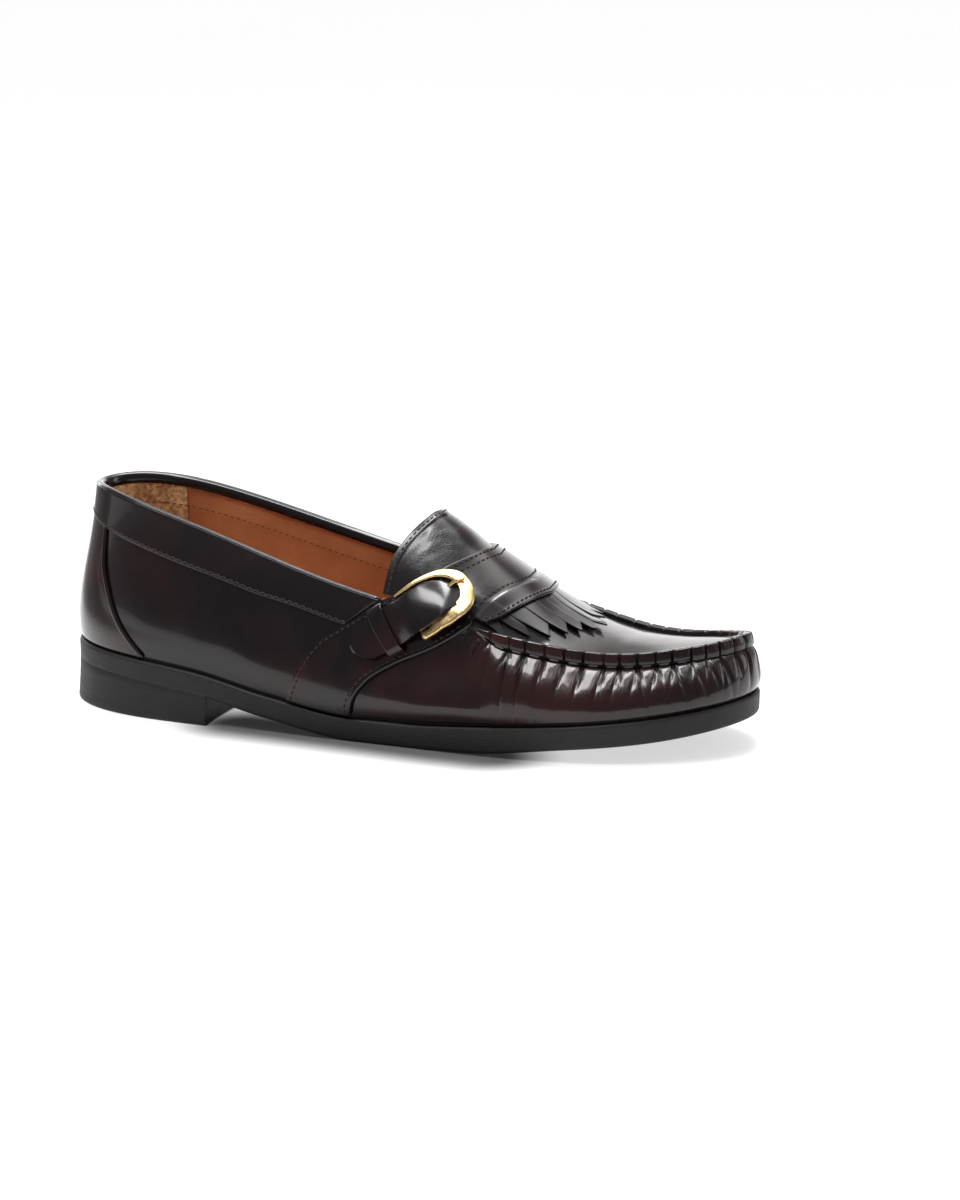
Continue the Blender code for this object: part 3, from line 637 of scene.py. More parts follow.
def middle(x, y):
    """Plan point to which the vamp runs from a rail point: throat edge, middle line or toe fan."""
    lat_y, _, _ = rail_side(x, True)
    med_y, _, _ = rail_side(x, False)
    turn = np.clip((x - THROAT_SIDE_X) / (THROAT_TOP_X - THROAT_SIDE_X), 0, 1) * np.pi / 2
    open_half = np.abs(np.cos(turn)) ** (2 / THROAT_POWER) * (x < THROAT_TOP_X)
    side_y, _, _ = rail_side(THROAT_SIDE_X, True)
    over_y, _, _ = rail_side(THROAT_SIDE_X, False)
    mid = np.where(x < THROAT_TOP_X, (side_y + over_y) / 2, (lat_y + med_y) / 2)
    reach = np.where(y < mid, side_y - over_y, over_y - side_y) / 2 * open_half
    throat_x = THROAT_SIDE_X + (THROAT_TOP_X - THROAT_SIDE_X) * np.sin(turn) ** 2
    end_x = np.where(x < THROAT_TOP_X, throat_x, np.minimum(x, FAN_X))
    fan_lat, _, _ = rail_side(end_x, True)
    fan_med, _, _ = rail_side(end_x, False)
    end_y = np.where(x > FAN_X, (fan_lat + fan_med) / 2, mid + reach)
    return np.stack([end_x, end_y], -1)


def seam_at(u):
    return np.interp(np.asarray(u) % 1.0, DENSE, SEAM)


# Pleat places are walked along the seam from the lateral start to the medial one, a pitch apart.
walk, walk_end = [float(seam_at(rail_side(PLEAT_START_X, lateral)[2])) for lateral in (True, False)]
pleats = []
while walk < walk_end:
    pleat_u = np.interp(walk, SEAM, DENSE)
    pleat_x = around(pleat_u)[2]
    pitch, reach, lean = [float(follow(pleat_x, PLEATS, PLEAT_COLUMNS, "rail_x", c)) for c in PLEAT_COLUMNS[1:]]
    n = len(pleats)
    wobble = math.sin(2.4 * n) + 0.6 * math.sin(5.1 * n + 1.0)
    pleats.append((
        walk,
        reach * (1 + 0.28 * math.sin(3.7 * n)),
        lean if pleat_u < TIP_U else -lean,
        1 + 0.22 * wobble,
        float(ramp(pleat_x, 240.0, 275.0)),
    ))
    walk += pitch * (1 + 0.10 * wobble)
pleats = np.array(pleats)


def pleat_trough(u, down, thin=1.0):
    """Depth of the gathers, 0 to about 1, at a distance in millimetres below the seam."""
    at = seam_at(u)
    deep = np.zeros_like(at)
    for place, reach, lean, depth, narrow in pleats:
        near = np.abs(at - place) < 12.0
        off = at[near] - place - lean * down[near]
        wide = thin * PLEAT_WIDTH * (1 + 0.05 * down[near]) * (1 - 0.2 * narrow)
        fade = np.clip(1 - down[near] / reach, 0, 1)
        deep[near] += depth * np.exp(-(off / wide) ** 2) * fade ** 1.4
    return deep


def tile(u):
    """Swell of the leather between two pleats, 0 at a pleat and 1 half way."""
    n = np.interp(seam_at(u), pleats[:, 0], np.arange(len(pleats)))
    return 1 - (2 * (n - np.floor(n)) - 1) ** 4


ROOF_ROWS = 3
INNER_ROWS = 5
WALL_ROWS = 52
RIDGE_ROWS = 24
PLUG_ROWS = 26
SIDE_ROW = ROOF_ROWS + INNER_ROWS + 1
RIDGE_ROW = SIDE_ROW + WALL_ROWS
PLUG_ROW = RIDGE_ROW + RIDGE_ROWS
VAMP_ROWS = PLUG_ROW + PLUG_ROWS + 1
QUARTER_ROWS = INNER_ROWS + 1 + WALL_ROWS + 1
FRONT = [float(rail_side(THROAT_SIDE_X, lateral)[2]) for lateral in (True, False)]
front_share = np.linspace(0, 1, 2001)
front_u = FRONT[0] + (FRONT[1] - FRONT[0]) * front_share
dense_toe = 1 + 3.0 * ramp(np.interp(front_u, DENSE, RAIL[:, 0]), 180.0, 200.0)
front_steps = 0.5 * (dense_toe[1:] + dense_toe[:-1]) * np.diff(np.interp(front_u, DENSE, SEAM))
front_walk = np.concatenate(([0], np.cumsum(front_steps)))
front_walk = 0.5 * (front_walk + front_walk[-1] - front_walk[::-1])
front_walk = front_walk / front_walk[-1]


def front_place(s):
    """Place round the toe, closer together where the pleats are, and its mate across the shoe."""
    first, last = FRONT
    return [first + (last - first) * np.interp(share, front_walk, front_share) for share in (s, 1 - s)]


def round_heel(s, x):
    """Place round the back of the shoe, from the medial side to the lateral one, both at the rail's x."""
    first, last = rail_side(x, False)[2] - 1.0, rail_side(x, True)[2]
    return first + (last - first) * s


def hump(x, start, full, fade, end):
    """1 between full and fade, smooth down to 0 at start and end."""
    return ramp(x, start, full) * (1 - ramp(x, fade, end))


def profile(t, rows, names):
    """Each column of a table, read at a share of the way down its rows."""
    n = np.arange(len(rows))
    return [np.interp(t * n[-1], n, column(rows, names, name)) for name in names]


def toe_tuck(x):
    """1 at the tip of the toe, where pleats and seam run into one another."""
    return ramp(x, 258.0, 274.0)


def waves(u, v):
    """Slow unevenness of leather pulled over the last, none at its edges."""
    at = seam_at(u)
    rise = np.sin(at / 7.3 + 5.0 * v) + 0.8 * np.sin(at / 4.1 - 7.0 * v + 1.3)
    rise = rise + 0.7 * np.sin(at / 11.7 + 9.0 * v + 4.0)
    return 0.11 * rise * np.clip(4 * v * (1 - v), 0, 1)


def pull_troughs(x, down):
    """Lone slanting creases behind the first pleats, where the seam comes out from under the saddle."""
    deep = np.zeros_like(x)
    for place, lean, start, end, wide, depth in PULLS:
        off = x - place - lean * down
        deep += depth * np.exp(-(off / wide) ** 2) * hump(down, start, start + 3, end - 4, end)
    return deep


def below_seam(u, v):
    """Distance in millimetres down the wall from the standing seam, and the size of the seam there."""
    rib = around(u)
    size = lip(rib[..., 2])
    return (1 - v) * (rib[..., 4] - LIP_HEIGHT * size - sole_top(rib[..., 0])) * WALL_SLANT, size


def gathered_wall(u, v):
    """Wall puffed between its pleats, with the tuck under the seam and the creases behind it."""
    x = around(u)[..., 2]
    down, size = below_seam(u, v)
    early = 1 - ramp(x, *FIRST_PLEATS_X)
    peak = PUFF_PEAK + 2.0 * early - 2.4 * ramp(x, *LAST_PLEATS_X)
    puff = (0.70 + 0.50 * early) * down / peak * np.exp(1 - down / peak)
    swell = tile(u) * puff - PLEAT_DEPTH * pleat_trough(u, down)
    swell = swell - TUCK_DEPTH * np.clip(1 - down / TUCK_REACH, 0, 1) ** 2 * (1 - toe_tuck(x))
    return wall(u, v, np.maximum(swell, -FOLD_LIMIT) * size + waves(u, v) - pull_troughs(x, down))


def wall_rows(k):
    """Rows of the wall, closer together under the seam."""
    return 1 - np.clip(1 - k / WALL_ROWS, 0, 1) ** 1.6


def inner_wall(u, v):
    """Flesh side of the wall, level with the grain side at the sole."""
    point = wall(u, v, -WALL)
    point[..., 2] = np.where(v <= 0, wall(u, 0.0)[..., 2], point[..., 2])
    return point


def vamp_place(s, t):
    """Rows from the throat down the inside, out under the edge and up the outside to the throat again."""
    u, mate = front_place(s)
    rib = around(u)
    mid_x = (rib[:, 2] + around(mate)[:, 2]) / 2
    h = outward(u)
    size = lip(rib[:, 2])
    end = middle(mid_x, rib[:, 3])
    k = np.round(t * VAMP_ROWS)
    k = np.where((k == VAMP_ROWS) & (mid_x < THROAT_TOP_X), 0, np.minimum(k, VAMP_ROWS - 1))
    room = wall(u, 1.0, -WALL)[:, :2]
    roof = end + (room - end) * np.clip(k / ROOF_ROWS, 0, 1)[:, None]
    roof = raised(roof, arch(roof[:, 0], roof[:, 1]) - ROOF_DROP)
    inside = inner_wall(u, np.clip(1 - (k - ROOF_ROWS) / INNER_ROWS, 0, 1))
    side = gathered_wall(u, wall_rows(np.maximum(k - SIDE_ROW, 0)))
    share = np.clip((k - RIDGE_ROW) / RIDGE_ROWS, 0, 1)
    row = share * (len(RIDGE) - 1)
    out, up = profile(share, RIDGE, RIDGE_COLUMNS)
    notch = pleat_trough(u, 0.0 * u, 0.8)
    tuck = toe_tuck(rib[:, 2])
    out = np.where(row < 3, out + tuck * (0.56 - out), out)
    puff = (0.06 + 0.08 * tuck) * tile(u) - (0.28 + 0.16 * tuck) * notch
    out = out + puff * np.maximum(ramp(row, 2.0, 3.0), tuck) * (1 - ramp(row, 7.0, 10.0))
    up = up - (0.07 + 0.12 * tuck) * notch * hump(row, 4.0, 7.0, 11.0, 14.0)
    ridge = raised(rib[:, 2:4] + (out * LIP_WIDTH * size)[:, None] * h, rib[:, 4] + up * LIP_HEIGHT * size)
    foot = rib[:, 2:4] - (PLUG_FOOT * size)[:, None] * h
    flat = foot + (end - foot) * (np.clip((k - PLUG_ROW) / PLUG_ROWS, 0, 1) ** 1.25)[:, None]
    plug = raised(flat, arch(flat[:, 0], flat[:, 1]))
    k = k[:, None]
    return np.select([k < ROOF_ROWS, k < SIDE_ROW, k <= RIDGE_ROW, k <= PLUG_ROW],
                     [roof, inside, side, ridge], plug)


def quarter_place(s, t):
    """Rows from the topline down the inside, out under the edge and up the outside to the topline again."""
    u = round_heel(s, THROAT_SIDE_X)
    k = np.round(t * QUARTER_ROWS)
    k = np.where(k == QUARTER_ROWS, 0, k)
    inside = inner_wall(u, np.clip(1 - k / INNER_ROWS, 0, 1))
    side = gathered_wall(u, wall_rows(np.maximum(k - INNER_ROWS - 1, 0)))
    return np.where((k <= INNER_ROWS)[:, None], inside, side)


def tint(piece, burnish_and_shade):
    """Burnishing of the finish with any painted shade, 0 open red to 1 black, above 1 black and matte: a
    number, or a function of the points.
    """
    co = np.empty(len(piece.data.vertices) * 3, np.float32)
    piece.data.vertices.foreach_get("co", co)
    points = co.reshape(-1, 3) / MM + CENTRE
    value = burnish_and_shade(points) if callable(burnish_and_shade) else burnish_and_shade
    layer = piece.data.attributes.new("burnish_and_shade", "FLOAT", "POINT")
    layer.data.foreach_set("value", np.broadcast_to(value, len(points)).astype(np.float32))


def mark(piece, name, *columns):
    """Three values kept at each point for the finish."""
    layer = piece.data.attributes.new(name, "FLOAT_VECTOR", "POINT")
    layer.data.foreach_set("vector", np.stack(columns, -1).astype(np.float32).ravel())


def join(piece, *others):
    pick(piece, *others)
    bpy.ops.object.join()
    return piece


def painted_groove_shade(p):
    """Matte black line where the leather turns under at the sole: painted shade of the groove between upper and
    sole.
    """
    return 1.6 * (1 - ramp(p[:, 2] - sole_top(p[:, 0]), 0.6, 1.5))


# Burnishing of the upper, darker at the back and low on the wall, with the painted groove shade at the sole.
def upper_burnish_and_shade(p):
    rear = 1 - ramp(p[:, 0], 105.0, 150.0)
    low = 1 - ramp(p[:, 2] - sole_top(p[:, 0]), 1.0, 5.0)
    return 0.30 + 0.35 * rear + 0.3 * low + painted_groove_shade(p)


def rim_burnish_and_shade(p):
    """Reddish blocks on the face of the standing seam, black along its top; its groove black and matte, partly
    the dark joint of the seam and partly painted shade in the recess; and a painted shadow, darkened and matte,
    on the seam top and plug under the lateral fringe.
    """
    row = np.arange(len(p)) // (VAMP_COLUMNS + 1) - RIDGE_ROW
    row = row / RIDGE_ROWS * (len(RIDGE) - 1)
    size = lip(p[:, 0]) * (1 - 0.8 * toe_tuck(p[:, 0]))
    face = size * hump(row, *RIDGE_FACE)
    # Seam top burnished black; its groove black and matte, partly the seam's dark joint and partly painted
    # shade in the recess.
    dark = size * (hump(row, *RIDGE_TOP) + 1.8 * hump(row, *RIDGE_GROOVE))
    # Painted shadow under the lateral fringe: seam top and plug darkened and made matte.
    painted_fringe_shadow = ramp(row, 10.0, 14.0) * (1 - ramp(p[:, 0], 213.0, 225.0)) * (1 - ramp(p[:, 1], -26.0, -16.0))
    return upper_burnish_and_shade(p) * (1 - face) - 0.6 * face + dark + 1.2 * painted_fringe_shadow


VAMP_COLUMNS = 660
upper = blank("upper_leather", VAMP_COLUMNS, VAMP_ROWS, vamp_place)
tint(upper, rim_burnish_and_shade)
row, place = np.divmod(np.arange(len(upper.data.vertices)), VAMP_COLUMNS + 1)
u, _ = front_place(place / VAMP_COLUMNS)
down, size = below_seam(u, wall_rows(row - SIDE_ROW))
outside = size * (row < RIDGE_ROW + 0.5 * RIDGE_ROWS)
mark(upper, "lay", seam_at(u), down, outside * np.clip(1 - down / PULL_REACH, 0, 1))
fold_at = seam_at(u) - np.interp(seam_at(u), pleats[:, 0], pleats[:, 2]) * down
fold_n = np.interp(fold_at, pleats[:, 0], np.arange(len(pleats)))
reach, depth = [np.interp(fold_at, pleats[:, 0], pleats[:, i]) for i in (1, 3)]
mark(upper, "fold", np.sin(np.pi * fold_n), outside * depth * np.clip(1 - down / reach, 0, 1), 0 * u)
quarters = blank("quarters", 150, QUARTER_ROWS, quarter_place)
tint(quarters, upper_burnish_and_shade)
work(join(upper, quarters), lambda: bpy.ops.mesh.fill_holes(sides=6))


def burnished_leather(name, red, grain=1.0, haze=0.07, creased=None):
    """Oxblood leather brushed to near black at its edges, glazed and polished, crumpled at one place. Painted
    shade is laid into its crease lines and, where given, into its burnishing.
    """
    made, shader, place = material(name)
    # The burnishing value also carries painted shade; from 1.15 up it turns the leather black and matte.
    rubbed = place.add("Attribute", {"attribute_name": "burnish_and_shade"}, out="Fac")
    fold, lay = [place.add("Attribute", {"attribute_name": kind}, out="Vector") for kind in ("fold", "lay")]
    # Crease lines along the pleats: darkened, dulled and sunk, painted shade in the creases.
    line = 1 - place.sum("ABSOLUTE", fold.axis(0)).step(0.02, 0.15)
    line = line * place.sum("MINIMUM", fold.axis(1), 1.0)
    cloud = place.noise(17.0, 4.0, 0.55)
    fleck = place.noise(75.0, 3.0, 0.6)
    open_ = (cloud * 0.75 + fleck * 0.25).step(0.42 - red, 0.70 - red) * (1 - rubbed) * (1 - line)
    bare = place.sum("MAXIMUM", rubbed.step(1.15, 1.5), line)
    pore = place.add("TexVoronoi", {"feature": "SMOOTH_F1"}, {"Vector": place, "Scale": 1100.0})
    gathers = (lay.noise(1.0, 3.0, 0.6, (1.4, 0.11, 0.0)) - 0.5) * lay.axis(2)
    height = place.noise(130.0) + pore * (0.05 * grain) + place.noise(700.0) * (0.06 * grain)
    height = height + gathers * 8.0 - line * 0.9
    if creased:
        near = 1 - place.vector("DISTANCE", creased).step(0.005, 0.017)
        height = height + place.noise(1500.0) * near * 3.0
    feed(shader, {
        "Base Color": open_.mix((0.0050, 0.0028, 0.0031), (0.034, 0.0070, 0.0066)),
        "Roughness": fleck * 0.12 + bare * 0.55 + 0.19,
        "Specular IOR Level": 0.25,
        "Coat Weight": 0.45 - bare * 0.45,
        "Coat Roughness": haze,
        "Normal": height.bump(0.30, 0.00035),
    })
    return made


oxblood = burnished_leather("oxblood leather", 0.0)
fix(tidy(upper), oxblood, "polished_leather", "upper")

# Lining: tan leather glued to the flesh side of the upper, sewn round under the topline, and a patch of
# suede at the back that grips the heel.
LINING_GAP = 0.15
LINING_THICKNESS = 0.5
LINING_FACE = WALL + LINING_GAP + LINING_THICKNESS
LINING_ROWS, LINING_ROOF_ROWS = 20, 16
LINING_ROW_DROP = 11.5
EASED_ANGLE = math.radians(55)
GRIP_X = 38.0
STITCH_RISE = 0.25
STITCH_FLAT = 0.8


def lining_v(t):
    return 0.04 + 0.955 * np.clip(t, 0, 1)


def lining_place(s, t):
    return wall(round_heel(s, THROAT_SIDE_X), lining_v(t), -WALL - LINING_GAP)


def toe_lining_place(s, t):
    u, mate = front_place(s)
    rib = around(u)
    end = middle((rib[:, 2] + around(mate)[:, 2]) / 2, rib[:, 3])
    k = np.round(t * (LINING_ROWS + LINING_ROOF_ROWS))
    deep = -WALL - LINING_GAP - 0.8 * lip(rib[:, 2])
    side = wall(u, lining_v(k / LINING_ROWS), deep)
    room = wall(u, lining_v(1.0), deep)[:, :2]
    plan = room + (end - room) * np.clip((k - LINING_ROWS) / LINING_ROOF_ROWS, 0, 1)[:, None]
    roof = raised(plan, arch(plan[:, 0], plan[:, 1]) - ROOF_DROP - LINING_GAP)
    return np.where((k <= LINING_ROWS)[:, None], side, roof)


def grip_place(s, t):
    return wall(round_heel(s, GRIP_X), 0.30 + 0.685 * t, -LINING_FACE - 0.05)


def modify(piece, kind, **settings):
    modifier = piece.modifiers.new(kind, kind)
    for key, value in settings.items():
        setattr(modifier, key, value)
    bpy.ops.object.modifier_apply(modifier=modifier.name)


def sheet(piece, thickness, edge, *steps):
    """Thickness given inwards from the laid face, with eased edges."""
    work(piece, *steps)
    modify(piece, "SOLIDIFY", thickness=thickness * MM, offset=-1.0)
    if edge:
        modify(piece, "BEVEL", width=edge * MM, segments=2, limit_method="ANGLE", angle_limit=EASED_ANGLE)
    bpy.ops.object.shade_smooth_by_angle(angle=SMOOTH_ANGLE)
    return piece


lining = blank("lining", 150, LINING_ROWS, lining_place)
toe_lining = blank("toe_lining", 150, LINING_ROWS + LINING_ROOF_ROWS, toe_lining_place)
sheet(join(lining, toe_lining), LINING_THICKNESS, 0.0, bpy.ops.mesh.flip_normals)
fix(lining, tan_leather, "lining_leather")

grip = sheet(blank("heel_grip", 90, 40, grip_place), 0.6, 0.2, bpy.ops.mesh.flip_normals)
suede, shader, place = material("suede")
nap = place.noise(520.0, 5.0, 0.75)
worn = (nap * 0.7 + place.noise(160.0, 3.0) * 0.3).step(0.36, 0.66)
feed(shader, {
    "Base Color": worn.mix((0.33, 0.150, 0.058), (1.0, 0.68, 0.33)),
    "Roughness": 0.95,
    "Sheen Weight": 0.4,
    "Normal": nap.bump(1.0, 0.0008),
})
fix(grip, suede, "lining_leather")

bpy.ops.mesh.primitive_uv_sphere_add(segments=6, ring_count=5, radius=1.0)
pattern = bpy.context.object
bead = np.array([v.co[:] for v in pattern.data.vertices])
bead_faces = [tuple(f.vertices) for f in pattern.data.polygons]
bpy.data.objects.remove(pattern, do_unlink=True)


def thread_finish(name, dark, light):
    made, shader, place = material(name)
    feed(shader, {
        "Base Color": place.noise(2400.0).mix(dark, light),
        "Roughness": place.noise(1800.0) * 0.2 + 0.55,
        "Specular IOR Level": 0.15,
    })
    return made


def sew(name, at, face, length, gap, thick, sway=0.0):
    """Row of stitches along a line at(height) on the leather: short plump threads, their ends drawn in."""
    base = at(face)
    run = np.concatenate(([0.0], np.cumsum(np.linalg.norm(np.diff(base, axis=0), axis=1))))
    count = max(2, int(run[-1] / (length + gap)))
    mid = (np.arange(count) + 0.5) * run[-1] / count

    def read(values, off=0.0):
        return np.stack([np.interp(mid + off, run, values[:, i]) for i in range(3)], -1)
    first, last = read(base, -0.5 * length), read(base, 0.5 * length)
    up = unit(read(at(face + 1) - base))
    along = unit(last - first)
    side = unit(np.cross(up, along))
    slant = (sway * (1 - 2 * (np.arange(count) % 2)))[:, None]
    along, side = along * np.cos(slant) + side * np.sin(slant), side * np.cos(slant) - along * np.sin(slant)
    centre = (first + last) / 2 + up * thick * STITCH_RISE
    points = (centre[:, None] + along[:, None] * bead[None, :, 2:3] * (length / 2) +
              side[:, None] * bead[None, :, 0:1] * thick +
              up[:, None] * bead[None, :, 1:2] * thick * STITCH_FLAT)
    faces = [tuple(f + i * len(bead) for f in face) for i in range(count) for face in bead_faces]
    mesh = bpy.data.meshes.new(name)
    mesh.from_pydata([tuple(p) for p in (points.reshape(-1, 3) - CENTRE) * MM], [], faces)
    row = bpy.data.objects.new(name, mesh)
    bpy.context.scene.collection.objects.link(row)
    return tidy(row)


def stitch(name, at, face, length, gap, thick, thread, sway=0.0, slot="polished_leather"):
    fix(sew(name, at, face, length, gap, thick, sway), thread, slot)


brown_thread = thread_finish("brown thread", (0.10, 0.030, 0.012), (0.20, 0.070, 0.030))
# Light brownish-grey thread, its pale tone partly a painted highlight for the light that the collar's zigzag
# catches.
light_thread_painted_glint = thread_finish("light thread with painted glint", (0.040, 0.031, 0.028), (0.10, 0.078, 0.070))
black_thread = thread_finish("waxed dark thread", (0.018, 0.013, 0.012), (0.050, 0.038, 0.035))
# Pale grey-brown thread, its light tone partly a painted highlight for the glints of the seam stitches and the
# counter's front edge.
pale_thread_painted_glint = thread_finish("pale thread with painted glint", (0.085, 0.064, 0.056), (0.19, 0.15, 0.135))
line = np.linspace(0.0, 1.0, 500)
u = round_heel(line, THROAT_SIDE_X)
v = 1 - LINING_ROW_DROP / (around(u)[:, 4] - sole_top(around(u)[:, 0]))
stitch("lining_stitches", lambda out: wall(u, v, -out), LINING_FACE, 2.0, 0.8, 0.22, brown_thread, 0.0,
       "lining_leather")

# Seam stitches: waxed thread that shows once in each pleat, in the groove under the standing seam. The row is
# sewn through the wall of the vamp and the edge of the plug.
seam_u = np.interp((pleats[1:, 0] + pleats[:-1, 0]) / 2, SEAM, DENSE)
seam_u = seam_u[lip(around(seam_u)[:, 2]) * (1 - toe_tuck(around(seam_u)[:, 2])) > 0.15]
seam_rows = []
for u in seam_u:
    bit_u = np.interp(seam_at(u) + np.linspace(-1.0, 1.0, 5) * 1.7, SEAM, DENSE)
    rib = around(bit_u)
    side = np.pad(outward(bit_u), ((0, 0), (0, 1)))
    low = rib[:, 2:5] + lip(rib[:, 2:3]) * (0.50 * LIP_WIDTH * side - (0, 0, 0.93 * LIP_HEIGHT))
    seam_rows.append(sew("seam_stitch", lambda out: low + out * side, 0.0, 3.0, 0.4, 0.46))
join(*seam_rows).name = "seam_stitches"
fix(seam_rows[0], pale_thread_painted_glint, "polished_leather")

# Topline binding: a strip turned over the edge of the quarters, flush outside and three millimetres deep
# inside, rubbed black and polished.
BINDING_COLUMNS = ("out", "up")
BINDING = (
    (0.2, -2.6),
    (0.6, -2.2),
    (0.85, -1.2),
    (0.95, -0.3),
    (0.8, 0.4),
    (0.35, 0.85),
    (-0.4, 1.05),
    (-1.2, 0.95),
    (-1.95, 0.5),
    (-2.5, -0.3),
    (-2.85, -1.4),
    (-3.0, -2.6),
    (-2.9, -3.3),
    (-2.3, -3.5),
    (-1.2, -3.2),
    (0.2, -2.6),
)


ROLL_CORE = 0.6
ROLL_END = 0.004


def roll_place(s, t):
    u = round_heel(s, THROAT_SIDE_X)
    out, up = profile(t, BINDING, BINDING_COLUMNS)
    small = np.clip(np.minimum(s, 1 - s) / ROLL_END, 0, 1) ** 0.5
    rib = around(u)
    rise = rib[:, 4] - sole_top(rib[:, 0])
    point = wall(u, 1 + small * np.minimum(up, 0) / rise, -ROLL_CORE + small * (out + ROLL_CORE))
    point[:, 2] += small * np.maximum(up, 0)
    return point


roll = tidy(blank("topline_binding", 260, 30, roll_place))
tint(roll, 0.9)
black_edge = burnished_leather("burnished black edge", -0.2, 0.6)
fix(roll, black_edge, "polished_leather")

# Collar band: a strip of the same leather laid round the topline, over the quarters and the top of the counter.
# It is sewn down along its lower edge with a zigzag row.
BAND_COLUMNS = ("rail_x", "v")
BAND = (
    (11.0, 0.83),
    (23.0, 0.77),
    (36.0, 0.74),
    (70.0, 0.71),
    (92.0, 0.71),
    (114.0, 0.73),
    (136.0, 0.72),
)
BAND_END_LOW_X = 133.6
BAND_END_TOP_X = 147.5
BAND_FACE = 1.25


def band_low(u):
    """Lower edge of the band as a share of the wall."""
    return follow(around(u)[..., 2], BAND, BAND_COLUMNS, "rail_x", "v")


def band_at(s, t):
    u = round_heel(s, BAND_END_LOW_X + (BAND_END_TOP_X - BAND_END_LOW_X) * t)
    return u, band_low(u) + (1 - band_low(u)) * t


def on_wall(at, face):
    """Placing rule of a panel laid on the wall."""
    return lambda s, t: wall(*at(s, t), face)


def panel(name, across, along, place, burnish_and_shade, thickness, edge, finish, node):
    """Piece of leather cut out, burnished, given its thickness and fixed in place of a node."""
    piece = blank(name, across, along, place)
    tint(piece, burnish_and_shade)
    fix(sheet(piece, thickness, edge), finish, "polished_leather", node)


panel("collar_strip", 220, 16, on_wall(band_at, BAND_FACE), 0.72, 0.95, 0.18, oxblood, "collar_band")
u, v = band_at(line, 0.075)
stitch("collar_stitches", lambda out: wall(u, v, out), BAND_FACE, 1.75, -0.25, 0.26, light_thread_painted_glint, 0.62)

# Heel counter: a panel of the same leather round the back of the heel, its top tucked under the collar band. A
# corded seam and a row of stitches close it in front.
COUNTER_COLUMNS = ("v", "rail_x")
COUNTER = (
    (0.00, 46.0),
    (0.08, 41.0),
    (0.19, 35.6),
    (0.36, 30.0),
    (0.56, 25.0),
    (0.80, 23.5),
)
COUNTER_FACE = 0.95
COUNTER_REACH = 0.78
COUNTER_LAP = 0.012


def counter_at(s, t):
    u = round_heel(s, follow(t * COUNTER_REACH, COUNTER, COUNTER_COLUMNS, "v", "rail_x"))
    return u, COUNTER_LAP + band_low(u) * t


# Burnishing of the counter, darker towards its top and front, with the painted groove shade at the sole.
def counter_burnish_and_shade(p):
    return 0.15 + 0.5 * ramp(p[:, 2], 60.0, 82.0) + 0.3 * ramp(p[:, 0], 25.0, 42.0) + painted_groove_shade(p)


def corded(name, at, face, thick):
    """Round cord along a line at(height), drawn to a point at both ends."""
    base = at(face)
    up = unit(at(face + 1) - base)
    side = unit(np.cross(up, np.gradient(base, axis=0)))
    n = len(base) - 1

    def place(s, t):
        k = np.round(s * n).astype(int)
        small = thick * np.clip(np.minimum(s, 1 - s) * n / 3, 0, 1) ** 0.5
        return (base[k] + up[k] * (small * np.sin(2 * np.pi * t))[:, None] +
                side[k] * (small * np.cos(2 * np.pi * t))[:, None])
    cord = tidy(blank(name, n, 10, place))
    tint(cord, 0.95)
    fix(cord, black_edge, "polished_leather")


panel("counter_panel", 90, 40, on_wall(counter_at, COUNTER_FACE), counter_burnish_and_shade, 0.65, 0.3, oxblood,
      "heel_counter")
rise_t = np.linspace(0.0, 1.0, 120)
for side, end, inner in (("lateral", 1.0, 0.986), ("medial", 0.0, 0.014)):
    u, v = counter_at(end, rise_t)
    corded("counter_cord_" + side, lambda out: wall(u, v, out), 0.55, 0.95)
    u, v = counter_at(inner, rise_t)
    # Pale stitches along the counter's front edge, partly a painted highlight of the edge catching light.
    stitch("counter_stitches_" + side, lambda out: wall(u, v, out), COUNTER_FACE, 1.2, 0.25, 0.24, pale_thread_painted_glint)

# Tongue: an arched flap of the same leather, lined, that rises behind the saddle and creases where the foot
# flexes. Its free edge has a hem, stitched round.
TONGUE_COLUMNS = ("reach", "rear")
TONGUE = (
    (0.00, 160.0),
    (0.22, 158.4),
    (0.39, 156.0),
    (0.52, 153.4),
    (0.65, 150.7),
    (0.76, 149.0),
    (0.97, 148.4),
)
TONGUE_REACH = 0.965
TONGUE_HEM = 0.45
TONGUE_CREASES = (
    (159.0, -16.0, 0.9, 9.0, 1.2, 0.16),
    (162.5, -18.0, 0.8, 8.0, 1.1, 0.20),
    (166.0, -20.0, 0.7, 8.0, 1.2, 0.18),
    (164.0, -12.5, 1.0, 7.0, 1.1, 0.15),
    (168.5, -14.5, 0.9, 7.0, 1.2, 0.15),
    (163.0, 17.0, -0.9, 9.0, 1.2, 0.34),
    (167.0, 19.0, -0.8, 8.0, 1.2, 0.30),
)
throat_y = [float(rail_side(THROAT_SIDE_X, side)[0]) for side in (True, False)]


def throat_x(reach):
    """Plan x of the throat edge at a share of its half width."""
    return THROAT_SIDE_X + (THROAT_TOP_X - THROAT_SIDE_X) * (1 - np.abs(reach) ** THROAT_POWER)


def tongue_at(s, t, from_rear=0.0):
    reach = TONGUE_REACH * np.sin((2 * s - 1) * np.pi / 2)
    rear = follow(np.abs(reach), TONGUE, TONGUE_COLUMNS, "reach", "rear") + from_rear
    x = rear + (throat_x(reach) - 0.9 - rear) * t
    y = np.mean(throat_y) + reach * (throat_y[1] - throat_y[0]) / 2
    return x, y


